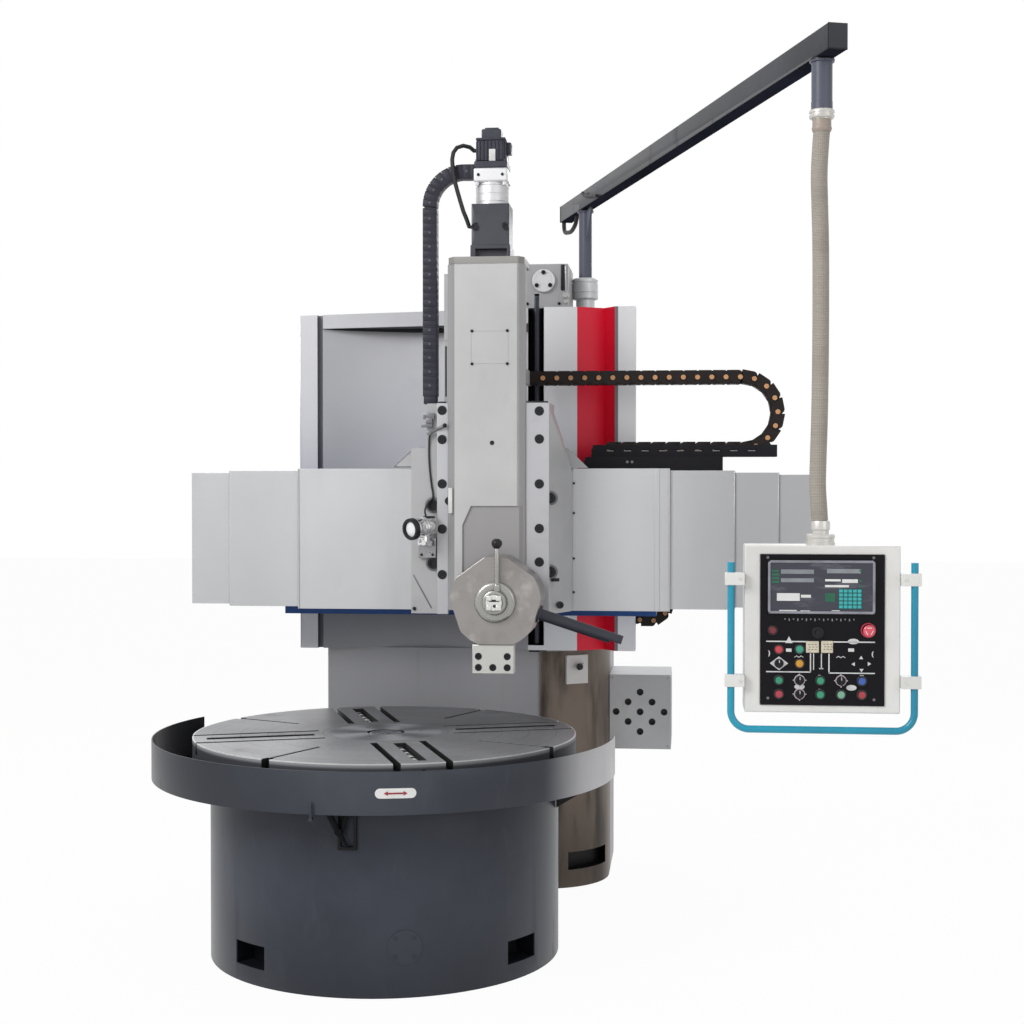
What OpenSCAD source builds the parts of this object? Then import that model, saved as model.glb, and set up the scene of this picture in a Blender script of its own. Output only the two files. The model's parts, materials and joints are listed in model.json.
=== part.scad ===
// Vertical boring mill with a single column, a round four-jaw table, a crossrail
// with one ram head and five-sided turret, and a control pendant on a swing boom.
// Origin: on the floor, on the table's axis. X to the operator's right, Y to the back, Z up.

/* [Table and base] */
// Diameter of the rotating table
table_d = 1400; // [1300:10:1500]
// Thickness of the table
table_h = 90; // [80:1:110]
// Diameter of the round base
base_d = 1272; // [1240:4:1290]
// Height of the round base
base_h = 650; // [560:5:720]
// Wall of the base casting
base_wall = 40; // [25:1:60]
// Height of the flat ring way that carries the table
way_ring_h = 50; // [40:1:70]
// Diameter of the spindle
spindle_d = 280; // [220:5:320]
// Width of the T-slots and diagonal slots in the table
t_slot_w = 26; // [18:1:36]
// Distance of a jaw's two T-slots from its centre line
t_slot_offset = 88; // [75:1:110]
// Turn of the table's jaw pattern at rest, in degrees
jaw_turn = 20.6; // [0:0.1:45]

/* [Splash guard] */
// Clearance between the table's rim and the splash guard
guard_gap = 139; // [100:1:180]
// Height of the splash guard's band
guard_h = 140; // [100:5:200]
// Thickness of the guard's sheet
guard_t = 5; // [3:0.5:8]
// How far the guard reaches behind the table's left side, in degrees
guard_back = 22; // [0:1:30]

/* [Column] */
// Width of the column's guideways
column_w = 1400; // [1360:5:1440]
// Offset of the column's middle from the table's axis
column_x = 192; // [170:1:210]
// Clearance between the table's rim and the column's guideways
column_gap = 100; // [80:5:140]
// Total height of the column
column_h = 2430; // [2300:10:2700]
// Height at which the guideways begin
ways_z = 1015; // [980:5:1040]
// Depth of the column behind its guideways
column_depth = 850; // [750:10:1000]

/* [Crossrail and saddle] */
// Left end of the crossrail
rail_left = -849; // [-900:1:-820]
// Right end of the crossrail
rail_right = 1577; // [1550:1:1650]
// Height of the crossrail's lower way edge at rest
rail_z = 1250; // [1240:1:1280]
// Height of the crossrail's front
rail_h = 475; // [460:5:500]
// Depth of the crossrail, from its front ways to the column
rail_depth = 360; // [340:5:400]
// Left side of the saddle at rest
saddle_left = 69; // [40:1:100]
// Width of the saddle left of the ram
saddle_wing_left = 144; // [130:1:160]
// Width of the saddle right of the ram
saddle_wing_right = 158; // [150:1:200]
// Height of the saddle above the crossrail
saddle_rise = 280; // [260:5:300]
// Sheet of the telescopic covers
cover_t = 3; // [2:0.5:4]
// Step from one telescopic cover to the next
cover_step = 8; // [6:1:9]

/* [Ram and turret] */
// Depth of the ram
ram_depth = 260; // [240:5:270]
// Width of the ram's front
ram_w = 292; // [270:1:300]
// Foot of the ram at rest
ram_foot = 1232; // [1225:1:1245]
// Top of the ram at rest
ram_top = 2520; // [2400:10:2700]
// Diameter of the turret over its rounded corners
turret_d = 328; // [320:2:360]
// How far the turret's corners stand out past its flats
turret_corner = 10; // [8:1:24]
// Thickness of the turret
turret_t = 190; // [160:5:195]
// Diameter of the boring bar
bar_d = 42; // [30:1:50]

/* [Boom and pendant] */
// Reach of the boom from its post to the drop pipe
boom_reach = 2597; // [2400:1:2800]
// Turn of the boom from straight forward to the right, in degrees
boom_turn = 18.03; // [10:0.01:30]
// Height of the boom's middle above the column
boom_rise = 485; // [440:5:560]
// Height of the pendant's top
box_top = 1536; // [1450:1:1600]
// Width of the pendant's box
box_w = 422; // [400:1:460]
// Height of the pendant's box
box_h = 460; // [440:1:520]
// Depth of the pendant's box
box_depth = 140; // [110:5:180]
// Diameter of the pendant's push buttons
button_d = 24; // [18:1:28]

/* [Hidden] */
seat = 0.3;        // gap under a piece that slides or rests on a way
run = 0.05;        // radial clearance of a shaft in its bore
$fn = 64;

// Table and base
base_r = base_d / 2;
table_r = table_d / 2;
table_z = base_h + way_ring_h;
table_top = table_z + table_h;
way_ring_r = 380;
way_ring_w = 80;
spindle_r = spindle_d / 2;
hub_wall = 50;
spindle_foot = 60;
guard_r = table_r + guard_gap + guard_t;
guard_lap = 25;
latch_h = 155;
latch_w = 32;
gusset_turn = 5;
diagonal_w = 16;
diagonal_in = 400;
diagonal_depth = 30;
centre_r = 70;
centre_depth = 24;
pinion_boss_r = 90;
link_half = 380;
pocket_w = 150;
pocket_h = 80;
pocket_z = 58;
corner_pocket = [230, 120, 75];
pocket_turns = [-126.6, -32, 32, 148, 170, 10];
ring_teeth = 104;
pinion_teeth = 16;
tooth_m = 10;
ring_gear_h = way_ring_h - 5;
pinion_y = tooth_m * (ring_teeth + pinion_teeth) / 2 + 2;
pinion_shaft_r = 45;
jaw_slot_w = 46;
jaw_slot_depth = 58;
jaw_slot_in = 262;
jaw_slot_out = table_r - 50;
t_slot_in = 235;
t_slot_depth = 46;
screw_r = 19;
screw_z = table_top - 32;
screw_pitch = 26;
journal_r = 11;

// Column
column_y = table_r + column_gap;
column_back = column_y + column_depth;
column_left = column_x - column_w / 2;
column_right = column_x + column_w / 2;
flange_t = 90;
body_left = column_left + 68;
body_right = column_right - 124;
body_y = column_y + flange_t;
lower_front = body_y - 20;
lower_right = body_right;
corner_r = 290;
recess_left = column_left + 98;
recess_right = column_right - 442;
recess_deep = 90;
recess_top = column_h - 80;
slot_left = recess_right;
slot_w = 66;
slot_deep = 120;
groove_left = column_right - 239;
groove_apex = column_right - 132;
groove_right = column_right - 84;
groove_deep = 66;
lift_x = slot_left + slot_w / 2;
lift_y = column_y + 60;
lift_r = 22;
lift_chain_left = column_right - 42;
lift_chain_w = 180;
lift_chain_t = 48;
box_low = 548;
box_high = 872;
box_wide = 268;
plate_low = 861;
plate_high = 982;
gearbox_h = 182;
motor_axis = 570;
motor_r = 165;

// Crossrail
rail_y = column_y - rail_depth;
rail_top = rail_z + rail_h;
rail_back = column_y - seat;
rail_len = rail_right - rail_left;
way_h = 110;
channel_y = rail_y + 120;
belly_z = rail_z - 72;
feed_r = 20;
feed_y = rail_y + 60;
feed_z = rail_z + rail_h / 2 + 20;
end_t = 30;
clamp_w = 32;
clamp_lip = 46;
clamp_back = body_y + 35;
clamp_low = rail_z + 10;
clamp_high = rail_top - 5;

// Telescopic covers, from the biggest outwards
saddle_w = saddle_wing_left + ram_w + saddle_wing_right;
cover_y = rail_y - 68;
cover_back = channel_y - 4;
wiper_w = 6;
cover_low = rail_z - 37;
cover_high = rail_top + 37;
left_in = [rail_left + 433, saddle_left];
left_mid = [rail_left + 154, rail_left + 154 + 480];
left_out = [rail_left, rail_left + 446];
right_in = [saddle_left + saddle_w, rail_right - 540];
right_mid_1 = [rail_right - 292 - 420, rail_right - 292];
right_mid_2 = [rail_right - 125 - 400, rail_right - 125];
right_out = [rail_right - 380, rail_right];

// Saddle and ram
saddle_right = saddle_left + saddle_w;
plate_y = rail_y - 60;
ram_back = plate_y - 20;
ram_y = ram_back - ram_depth;
saddle_y = ram_y + 60;
saddle_foot = rail_z - 35;
saddle_top = rail_top + saddle_rise;
ram_left = saddle_left + saddle_wing_left;
ram_right = ram_left + ram_w;
ram_mid = (ram_left + ram_right) / 2;
guide_left = 18;
guide_right = -26;
ram_chamfer = 30;
gib_t = 25;
gib_left_w = 42;
gib_right_w = 87;
tall_left = saddle_left + 61;
tall_right = ram_right + gib_right_w;
cap_t = 25;
motor_x = ram_mid + 11;
motor_y = ram_y + 120;
bracket_h = 205;
reducer_h = 134;
turret_x = ram_right - 85;
turret_z = ram_foot + 48;
turret_flat = turret_d / 2 - turret_corner;
turret_front = ram_y - 30 - turret_t;
turret_back = ram_y - 30;
pin_r = 30;
bar_turn = -18;
bar_y = turret_front + turret_t / 2;
lamp_x = saddle_left + 75;
lamp_y = saddle_y - 68;
lamp_pin_r = 9;
lamp_foot = saddle_foot + 210;
lamp_z = saddle_foot + 328;

// Cable chain beside the saddle
chain_y = channel_y + 50;
chain_w = 60;
chain_t = 56;
bend_r = 142;
bend_x = rail_right - 262;
run_left = saddle_right + 120;
tray_left = saddle_right + 60;
tray_right = bend_x + 141;
bend_z = rail_top + 259;
run_z = bend_z - bend_r;
tray_floor = run_z - chain_t / 2 - seat;

// Boom and pendant
post_x = column_right - 226;
post_y = column_y + 340;
post_r = 28;
boom_z = column_h + boom_rise;
boom_h = 70;
boom_w = 55;
pipe_x = post_x + boom_reach * sin(boom_turn);
pipe_y = post_y - boom_reach * cos(boom_turn);
pipe_r = 29;
hose_r = 23;
box_foot = box_top - box_h;
box_front = pipe_y - box_depth / 2;
box_left = pipe_x - box_w / 2;
box_right = pipe_x + box_w / 2;
panel_t = 4;
panel_front = box_front - panel_t;
key_pitch = (box_w - 198) / 4;
pendant_columns = [for (i = [-2:2]) pipe_x - 5 + i * key_pitch];
pendant_rows = [for (h = [173, 136, 90, 52]) box_foot + h];
stop_x = box_right - 87;
stop_z = box_foot + 229;
key_shaft_r = 8;
stop_shaft_r = 10;
pipe_drop = 119;
hose_top = boom_z - boom_h / 2 - pipe_drop - seat;
handle_drop = 46;

// Routes, as points chosen by hand. The pendant's hose: sideways, forward, and the
// share of the way up from the box's fitting to the boom's. The ram's: from its motor.
pendant_hose_route = [
    [0, 0, 1], [0, 0, 0.94], [-1, 0, 0.87], [-3, 1, 0.79], [-6, 2, 0.71],
    [-8, 2, 0.62], [-10, 1, 0.53], [-12, 0, 0.44], [-14, -1, 0.35], [-14, -2, 0.25],
    [-11, -2, 0.18], [-7, -1, 0.12], [-3, 0, 0.06], [0, 0, 0.025], [0, 0, 0]
];
ram_hose_route = [
    [-56.4, 0, 440], [-70, 0, 440], [-84, -7, 452], [-108, -20, 456], [-130, -34, 446], [-142, -44, 426],
    [-146, -48, 400], [-144, -50, 370], [-140, -50, 340], [-134, -50, 310], [-126, -49, 280],
    [-116, -48, 245], [-104, -46, 205], [-92, -42, 175], [-83, -36, 148], [-71.4, -36, 148]
];

paint_dark = "#3a3e47";
paint_grey = "#b4b4b4";
steel = "#a6a8aa";
black = "#1d1d20";
rail_blue = "#27406e";

// ---------- shared shapes ----------

// A box between two corners
module block(a, b) {
    translate(a) cube(b - a);
}

// A cylinder along Y, from y to y + length
module bar_y(x, y, z, r, length) {
    translate([x, y + length, z]) rotate([90, 0, 0]) cylinder(r = r, h = length);
}

// A cylinder along X, from x to x + length
module bar_x(x, y, z, r, length) {
    translate([x, y, z]) rotate([0, 90, 0]) cylinder(r = r, h = length);
}

// An outline in X and Z, given a depth along Y
module plate_y(points, y, depth) {
    translate([0, y + depth, 0]) rotate([90, 0, 0]) linear_extrude(depth) polygon(points);
}

// Straight-sided gear teeth around a disc
module gear_outline(teeth, m, slack) {
    step = 360 / teeth;
    pitch = teeth * m / 2;
    root = pitch - 1.15 * m;
    tip = pitch + 0.85 * m;
    low = 0.33 * step;
    high = 0.12 * step - slack;
    polygon([for (i = [0:teeth - 1]) for (p = [[root, -low], [tip, -high], [tip, high], [root, low]])
        p[0] * [cos(i * step + p[1]), sin(i * step + p[1])]]);
}

// A round tube swept along points
function unit(v) = v / norm(v);
function along(p, i) = unit(p[min(i + 1, len(p) - 1)] - p[max(i - 1, 0)]);
function ring_at(p, i, r, sides) =
    let (t = along(p, i), u = unit(cross(t, [0, 1, 0.01])), w = cross(t, u))
    [for (k = [0:sides - 1]) p[i] + r * (cos(360 * k / sides) * u + sin(360 * k / sides) * w)];
module swept_tube(p, r, sides) {
    n = len(p);
    points = [for (i = [0:n - 1]) each ring_at(p, i, r, sides)];
    walls = [for (i = [0:n - 2]) for (k = [0:sides - 1]) let (j = (k + 1) % sides)
        [i * sides + k, (i + 1) * sides + k, (i + 1) * sides + j, i * sides + j]];
    first = [for (k = [0:sides - 1]) k];
    last = [for (k = [sides - 1:-1:0]) (n - 1) * sides + k];
    polyhedron(points, concat([first], walls, [last]));
}

// ---------- base and table ----------

module base() {
    color(paint_dark) difference() {
        union() {
            difference() {
                cylinder(r = base_r, h = base_h, $fn = 128);
                translate([0, 0, -1]) cylinder(r = base_r - base_wall, h = base_h - base_wall + 1);
            }
            block([-link_half, base_r - 60, 0], [link_half, lower_front, base_h]);
            difference() {
                cylinder(r = way_ring_r, h = table_z - seat);
                translate([0, 0, -1]) cylinder(r = way_ring_r - way_ring_w, h = table_z + 2);
            }
            cylinder(r = spindle_r + hub_wall, h = base_h);
            translate([0, pinion_y, base_h / 2]) cylinder(r = pinion_boss_r, h = base_h / 2);
            for (turn = pocket_turns) rotate(turn)
                block([base_r - base_wall - 60, -pocket_w / 2 - 15, 0],
                    [base_r - base_wall + 10, pocket_w / 2 + 15, pocket_z + pocket_h + 15]);
        }
        translate([0, 0, spindle_foot - 2]) cylinder(r = spindle_r + run, h = base_h);
        translate([0, pinion_y, base_h / 2 - 1]) cylinder(r = pinion_shaft_r + run, h = base_h);
        for (turn = pocket_turns) rotate(turn)
            block([base_r - base_wall - 45, -pocket_w / 2, pocket_z],
                [base_r + 10, pocket_w / 2, pocket_z + pocket_h]);
    }
}

module splash_guard() {
    low = base_h;
    span = 180 + guard_back;
    outer = guard_r;
    foot = low - latch_h;
    color(paint_dark) {
        // band
        rotate(180 - guard_back) rotate_extrude(angle = span, $fn = 128)
            translate([outer - guard_t, low]) square([guard_t, guard_h]);
        // floor between the band and the base
        rotate(180 - guard_back) rotate_extrude(angle = span, $fn = 128)
            translate([base_r - guard_lap, low]) square([outer - base_r + guard_lap, guard_t]);
        // latch bracket under the floor, in front
        rotate(-91) {
            block([base_r + seat, -latch_w, foot], [base_r + 12, 10 - latch_w, low + 1]);
            block([base_r + seat, latch_w - 10, foot], [base_r + 12, latch_w, low + 1]);
            block([base_r + seat, -latch_w, foot], [base_r + 12, latch_w, foot + 12]);
        }
        // gusset under the floor, at the right
        rotate(-gusset_turn) rotate([90, 0, 0]) linear_extrude(10)
            polygon([[base_r + 2, low + 1], [outer - 20, low + 1], [base_r + 2, low - 115]]);
    }
}

module table() {
    color(steel) difference() {
        translate([0, 0, table_z]) cylinder(r = table_r, h = table_h, $fn = 160);
        translate([0, 0, table_top - centre_depth]) cylinder(r = centre_r, h = centre_depth + 1);
        rotate(jaw_turn) for (jaw = [0:3]) rotate(90 * jaw) {
            // recess over the jaw's screw, and the screw's bearings
            block([jaw_slot_in, -jaw_slot_w / 2, table_top - jaw_slot_depth],
                [jaw_slot_out, jaw_slot_w / 2, table_top + 1]);
            bar_x(jaw_slot_in - 25, 0, screw_z, journal_r + run, table_r - jaw_slot_in + 30);
            for (side = [-1, 1]) t_slot(side * t_slot_offset, t_slot_in);
        }
        rotate(jaw_turn + 45) for (slot = [0:3]) rotate(90 * slot) {
            block([diagonal_in, -diagonal_w / 2, table_top - diagonal_depth],
                [table_r + 5, diagonal_w / 2, table_top + 1]);
            translate([table_r - 8, 0, table_top - centre_depth + 2]) cube([50, 34, 50], center = true);
        }
    }
}

// One T-slot at offset y, open at the rim
module t_slot(y, from) {
    block([from, y - t_slot_w / 2, table_top - t_slot_depth],
        [table_r + 5, y + t_slot_w / 2, table_top + 1]);
    block([from, y - t_slot_w * 0.85, table_top - t_slot_depth],
        [table_r + 5, y + t_slot_w * 0.85, table_top - t_slot_depth + 18]);
}

module spindle() {
    color(steel) translate([0, 0, spindle_foot]) cylinder(r = spindle_r, h = table_z - spindle_foot);
}

module ring_gear() {
    color(steel) translate([0, 0, table_z - ring_gear_h]) difference() {
        linear_extrude(ring_gear_h) gear_outline(ring_teeth, tooth_m, 0);
        translate([0, 0, -1]) cylinder(r = way_ring_r + 20, h = ring_gear_h + 2);
    }
}

// Threaded screw that moves one jaw, held at both ends in the table
module jaw_screw(jaw) {
    inner = jaw_slot_in + 6;
    turns = floor((jaw_slot_out - jaw_slot_in - 18) / screw_pitch);
    color(steel) rotate(jaw_turn + 90 * (jaw - 1)) translate([0, 0, screw_z]) rotate([0, 90, 0])
        rotate_extrude() polygon(concat(
            [[0, jaw_slot_in - 20], [journal_r, jaw_slot_in - 20], [journal_r, inner]],
            [for (i = [0:turns - 1]) each [
                [screw_r - 6, inner + i * screw_pitch], [screw_r - 6, inner + (i + 0.4) * screw_pitch],
                [screw_r, inner + (i + 0.5) * screw_pitch], [screw_r, inner + (i + 0.9) * screw_pitch]]],
            [[screw_r - 6, inner + turns * screw_pitch], [journal_r, inner + turns * screw_pitch],
                [journal_r, table_r - 14], [0, table_r - 14]]));
}

module drive_pinion() {
    color(steel) translate([0, pinion_y, 0]) {
        translate([0, 0, table_z - ring_gear_h - 2])
            rotate(-90 + 180 / pinion_teeth) linear_extrude(ring_gear_h) gear_outline(pinion_teeth, tooth_m, 0.6);
        translate([0, 0, base_h / 2 + 1]) cylinder(r = pinion_shaft_r, h = table_z - ring_gear_h - base_h / 2);
    }
}

// ---------- column ----------

module column() {
    back = column_back;
    low_left = column_h - 25;
    color(paint_grey) difference() {
        union() {
            // guideways
            block([column_left, column_y, ways_z], [column_right, body_y, column_h]);
            // box behind them, on the lower column
            block([body_left, body_y - 1, ways_z], [body_right, back, column_h]);
            lower_column(back);
            // bracket that holds the lift chain
            block([body_right - 1, body_y + 55, rail_top - 120], [lift_chain_left - 24, body_y + 95, rail_top - 70]);
        }
        // hollow inside, whose floor steps up behind the round corner
        block([body_left + 60, body_y + 130, -1], [lower_right - corner_r, back - 60, column_h - 130]);
        block([lower_right - corner_r - 1, body_y + 130, 260], [body_right - 60, back - 60, column_h - 130]);
        // hollow between the two guideways, whose left part is lower
        translate([(recess_left + recess_right) / 2, column_y + recess_deep - recess_curve(), ways_z - 1])
            cylinder(r = recess_curve(), h = recess_top - ways_z + 1, $fn = 256);
        block([recess_left - 24, column_y - 1, ways_z - 1], [recess_left, column_y + 30, column_h + 1]);
        translate([0, back + 1, 0]) rotate([90, 0, 0]) linear_extrude(back - column_y + 2)
            polygon([[column_left - 1, low_left], [slot_left + 1, column_h - 3],
                [slot_left + 1, column_h + 1], [column_left - 1, column_h + 1]]);
        // slot of the lift screw
        block([slot_left, column_y - 1, ways_z + 20], [slot_left + slot_w, column_y + slot_deep, column_h + 1]);
        // vee groove
        translate([0, 0, ways_z - 1]) linear_extrude(column_h)
            polygon([[groove_left, column_y - 1], [groove_left, column_y], [groove_apex, column_y + groove_deep],
                [groove_right, column_y], [groove_right, column_y - 1]]);
        // foundation pocket in the round corner
        rotate_pocket() cube(corner_pocket, center = true);
    }
}

function recess_curve() =
    let (half = (recess_right - recess_left) / 2) (half * half + recess_deep * recess_deep) / (2 * recess_deep);

// Lower column: a flat painted front at the left and a round bare corner at the right
module lower_column(back) {
    front = body_y + 10;
    flat_right = slot_left + 40;
    block([body_left + 34, lower_front, 0], [flat_right, front + 200, ways_z + 30]);
    linear_extrude(ways_z + 1) difference() {
        translate([body_left + 30, front]) square([lower_right - body_left - 30, back - front]);
        translate([lower_right - corner_r, front]) difference() {
            translate([0, -1]) square([corner_r + 1, corner_r + 1]);
            translate([0, corner_r]) circle(r = corner_r, $fn = 128);
        }
    }
}

module rotate_pocket() {
    mid = 50;
    translate([lower_right - corner_r + corner_r * sin(mid), body_y + 10 + corner_r - corner_r * cos(mid), 112])
        rotate(mid) children();
}

module electric_box() {
    left = body_right;
    color(paint_grey) difference() {
        block([left, column_y + 400, box_low], [left + box_wide, column_y + 730, box_high]);
        for (i = [-1:1]) for (j = [-1:1])
            bar_y(left + box_wide / 2 + (i + j) * 52, column_y + 395, (box_low + box_high) / 2 + (i - j) * 43, 15, 25);
    }
}

module lock_plate() {
    face = corner_r + 10;
    color("#c8c3b8") translate([lower_right - corner_r, body_y + 10 + corner_r, 0]) rotate(34) {
        difference() {
            block([-52, -face, plate_low], [52, -corner_r + 8, plate_high]);
            translate([0, 0, plate_low - 1]) cylinder(r = corner_r + seat, h = plate_high - plate_low + 2, $fn = 256);
        }
        bar_y(20, -face - 24, plate_high - 47, 12, 25);
    }
}

module lift_gearbox() {
    color(paint_grey) difference() {
        union() {
            block([slot_left - 24, column_y + 40, column_h], [slot_left + 162, column_y + 360, column_h + gearbox_h]);
            bar_y(slot_left + 62, column_y + 28, column_h + gearbox_h - 70, 46, 14);
        }
        translate([lift_x, lift_y, column_h - 1]) cylinder(r = lift_r + run, h = 60);
    }
}

module lift_screw() {
    color(steel) translate([lift_x, lift_y, ways_z + 24]) cylinder(r = lift_r, h = column_h + 50 - ways_z - 24);
}

module main_motor() {
    back = column_back;
    flange = motor_r + 25;
    color("#5c6066") {
        block([column_x - flange, back, motor_axis - flange], [column_x + flange, back + 30, motor_axis + flange]);
        bar_y(column_x, back + 30, motor_axis, motor_r, 380);
        bar_y(column_x, back + 410, motor_axis, motor_r - 15, 50);
        block([column_x - 80, back + 120, motor_axis + motor_r - 15],
            [column_x + 80, back + 300, motor_axis + motor_r + 65]);
    }
}

// ---------- crossrail ----------

module crossrail() {
    color(rail_blue) difference() {
        union() {
            // web and the two front ways
            block([rail_left, channel_y, rail_z], [rail_right, rail_back, rail_top]);
            block([rail_left, rail_y, rail_top - way_h], [rail_right, channel_y, rail_top]);
            block([rail_left, rail_y, rail_z], [rail_right, channel_y, rail_z + way_h]);
            block([rail_left, rail_y, rail_z], [rail_left + end_t, channel_y, rail_top]);
            block([rail_right - end_t, rail_y, rail_z], [rail_right, channel_y, rail_top]);
            // deeper belly between the column's ways
            block([column_left - 8, channel_y + 5, belly_z], [column_right + 90, rail_back, rail_z + 1]);
            // clamps around the column's guideways
            block([column_left - clamp_w, rail_back - 60, clamp_low], [column_left - seat, clamp_back, clamp_high]);
            block([column_left - clamp_w, body_y + seat, clamp_low], [column_left + clamp_lip, clamp_back, clamp_high]);
            block([column_right + seat, rail_back - 60, clamp_low], [column_right + clamp_w, clamp_back, clamp_high]);
            block([column_right - clamp_lip, body_y + seat, clamp_low], [column_right + clamp_w, clamp_back, clamp_high]);
            // arm that holds the lift chain
            block([column_right + 2, body_y, rail_z + 250], [lift_chain_left + lift_chain_w + 30, body_y + 50, rail_z + 310]);
            // nut of the lift screw
            block([slot_left + 3, rail_back - 1, rail_z + 150],
                [slot_left + slot_w - 3, column_y + slot_deep - 15, rail_z + 330]);
        }
        translate([lift_x, lift_y, rail_z + 140]) cylinder(r = lift_r + run, h = 200);
        bar_x(rail_left - 1, feed_y, feed_z, feed_r + run, rail_len + 2);
    }
}

module feed_screw() {
    color(steel) bar_x(rail_left + 4, feed_y, feed_z, feed_r, rail_len - 8);
}

module chain_tray() {
    front = chain_y - 12;
    back = chain_y + chain_w + 12;
    left = tray_left;
    right = tray_right;
    color(black) difference() {
        union() {
            block([left - 28, front - 25, rail_top], [left + 520, back + 20, tray_floor - 4]);
            block([left, front, tray_floor - 4], [right, back, tray_floor + 44]);
        }
        block([left - 1, front + 4, tray_floor], [right + 1, back - 4, tray_floor + 50]);
        for (i = [0:floor((right - left - 120) / 70)]) block([left + 60 + i * 70, front - 1, tray_floor + 16],
            [left + 92 + i * 70, front + 5, tray_floor + 26]);
        // slanted left end and rounded right tip of the front wall
        translate([left - 20, front - 1, tray_floor + 50]) rotate([0, 30, 0]) cube([60, 90, 120], center = true);
    }
}

module chain_run() {
    color("#2b2119") block([run_left, chain_y, run_z - chain_t / 2],
        [bend_x, chain_y + chain_w, run_z + chain_t / 2]);
}

module chain_top() {
    color("#2b2119") block([ram_right - 30, chain_y, bend_z + bend_r - chain_t / 2],
        [bend_x, chain_y + chain_w, bend_z + bend_r + chain_t / 2]);
}

module chain_bend() {
    color("#2b2119") translate([bend_x, chain_y + chain_w, bend_z]) rotate([90, 0, 0])
        rotate(-90) rotate_extrude(angle = 180) translate([bend_r - chain_t / 2, 0]) square([chain_t, chain_w]);
}

// Loop of chain between the column's side and the crossrail
module lift_chain() {
    left = lift_chain_left;
    right = left + lift_chain_w;
    r = lift_chain_w / 2;
    half = lift_chain_t / 2;
    z = rail_z - 30;
    y = body_y + 50;
    color("#2b2119") {
        translate([left + r, y + 50, z]) rotate([90, 0, 0])
            rotate(180) rotate_extrude(angle = 180) translate([r - half, 0]) square([lift_chain_t, 50]);
        block([left - half, y, z], [left + half, y + 50, rail_top - 60]);
        block([right - half, y, z], [right + half, y + 50, rail_z + 310]);
    }
}

// One telescopic cover: front, top and bottom sheet, the nth from the biggest
module cover(span, n) {
    y = cover_y + n * cover_step;
    low = cover_low + n * cover_step;
    high = cover_high - n * cover_step;
    difference() {
        block([span[0], y, low], [span[1], cover_back, high]);
        block([span[0] - 1, y + cover_t, low + cover_t], [span[1] + 1, cover_back + 1, high - cover_t]);
    }
}

// Wiper frame at x inside the nth cover, riding on the next smaller one
module wiper(x, n) {
    y = cover_y + n * cover_step;
    low = cover_low + n * cover_step;
    high = cover_high - n * cover_step;
    gap = cover_step - seat;
    difference() {
        block([x, y + 1, low + 1], [x + wiper_w, cover_back, high - 1]);
        block([x - 1, y + gap, low + gap], [x + wiper_w + 1, cover_back + 1, high - gap]);
    }
}

// Plate at x that fixes the nth cover to the crossrail's end
module cover_end(x, n) {
    block([x, cover_y + n * cover_step + 1, cover_low + n * cover_step + 1],
        [x + cover_t, rail_y - seat, cover_high - n * cover_step - 1]);
}

module inner_covers() {
    color(paint_grey) {
        cover(left_in, 0);
        wiper(left_in[0], 0);
        cover(right_in, 0);
        wiper(right_in[1] - wiper_w, 0);
        // raised joint strip on the right one
        block([right_in[1] - 57, cover_y - 4, cover_low], [right_in[1] - 40, cover_y + 1, cover_high]);
    }
}

module end_covers() {
    color(paint_grey) {
        cover(left_out, 2);
        cover_end(rail_left, 2);
        cover(right_out, 3);
        cover_end(rail_right - cover_t, 3);
    }
}

module left_cover() {
    color(paint_grey) {
        cover(left_mid, 1);
        wiper(left_mid[0], 1);
    }
}

module right_cover_1() {
    color(paint_grey) {
        cover(right_mid_1, 1);
        wiper(right_mid_1[1] - wiper_w, 1);
    }
}

module right_cover_2() {
    color(paint_grey) {
        cover(right_mid_2, 2);
        wiper(right_mid_2[1] - wiper_w, 2);
    }
}

// ---------- saddle, ram and turret ----------

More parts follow.
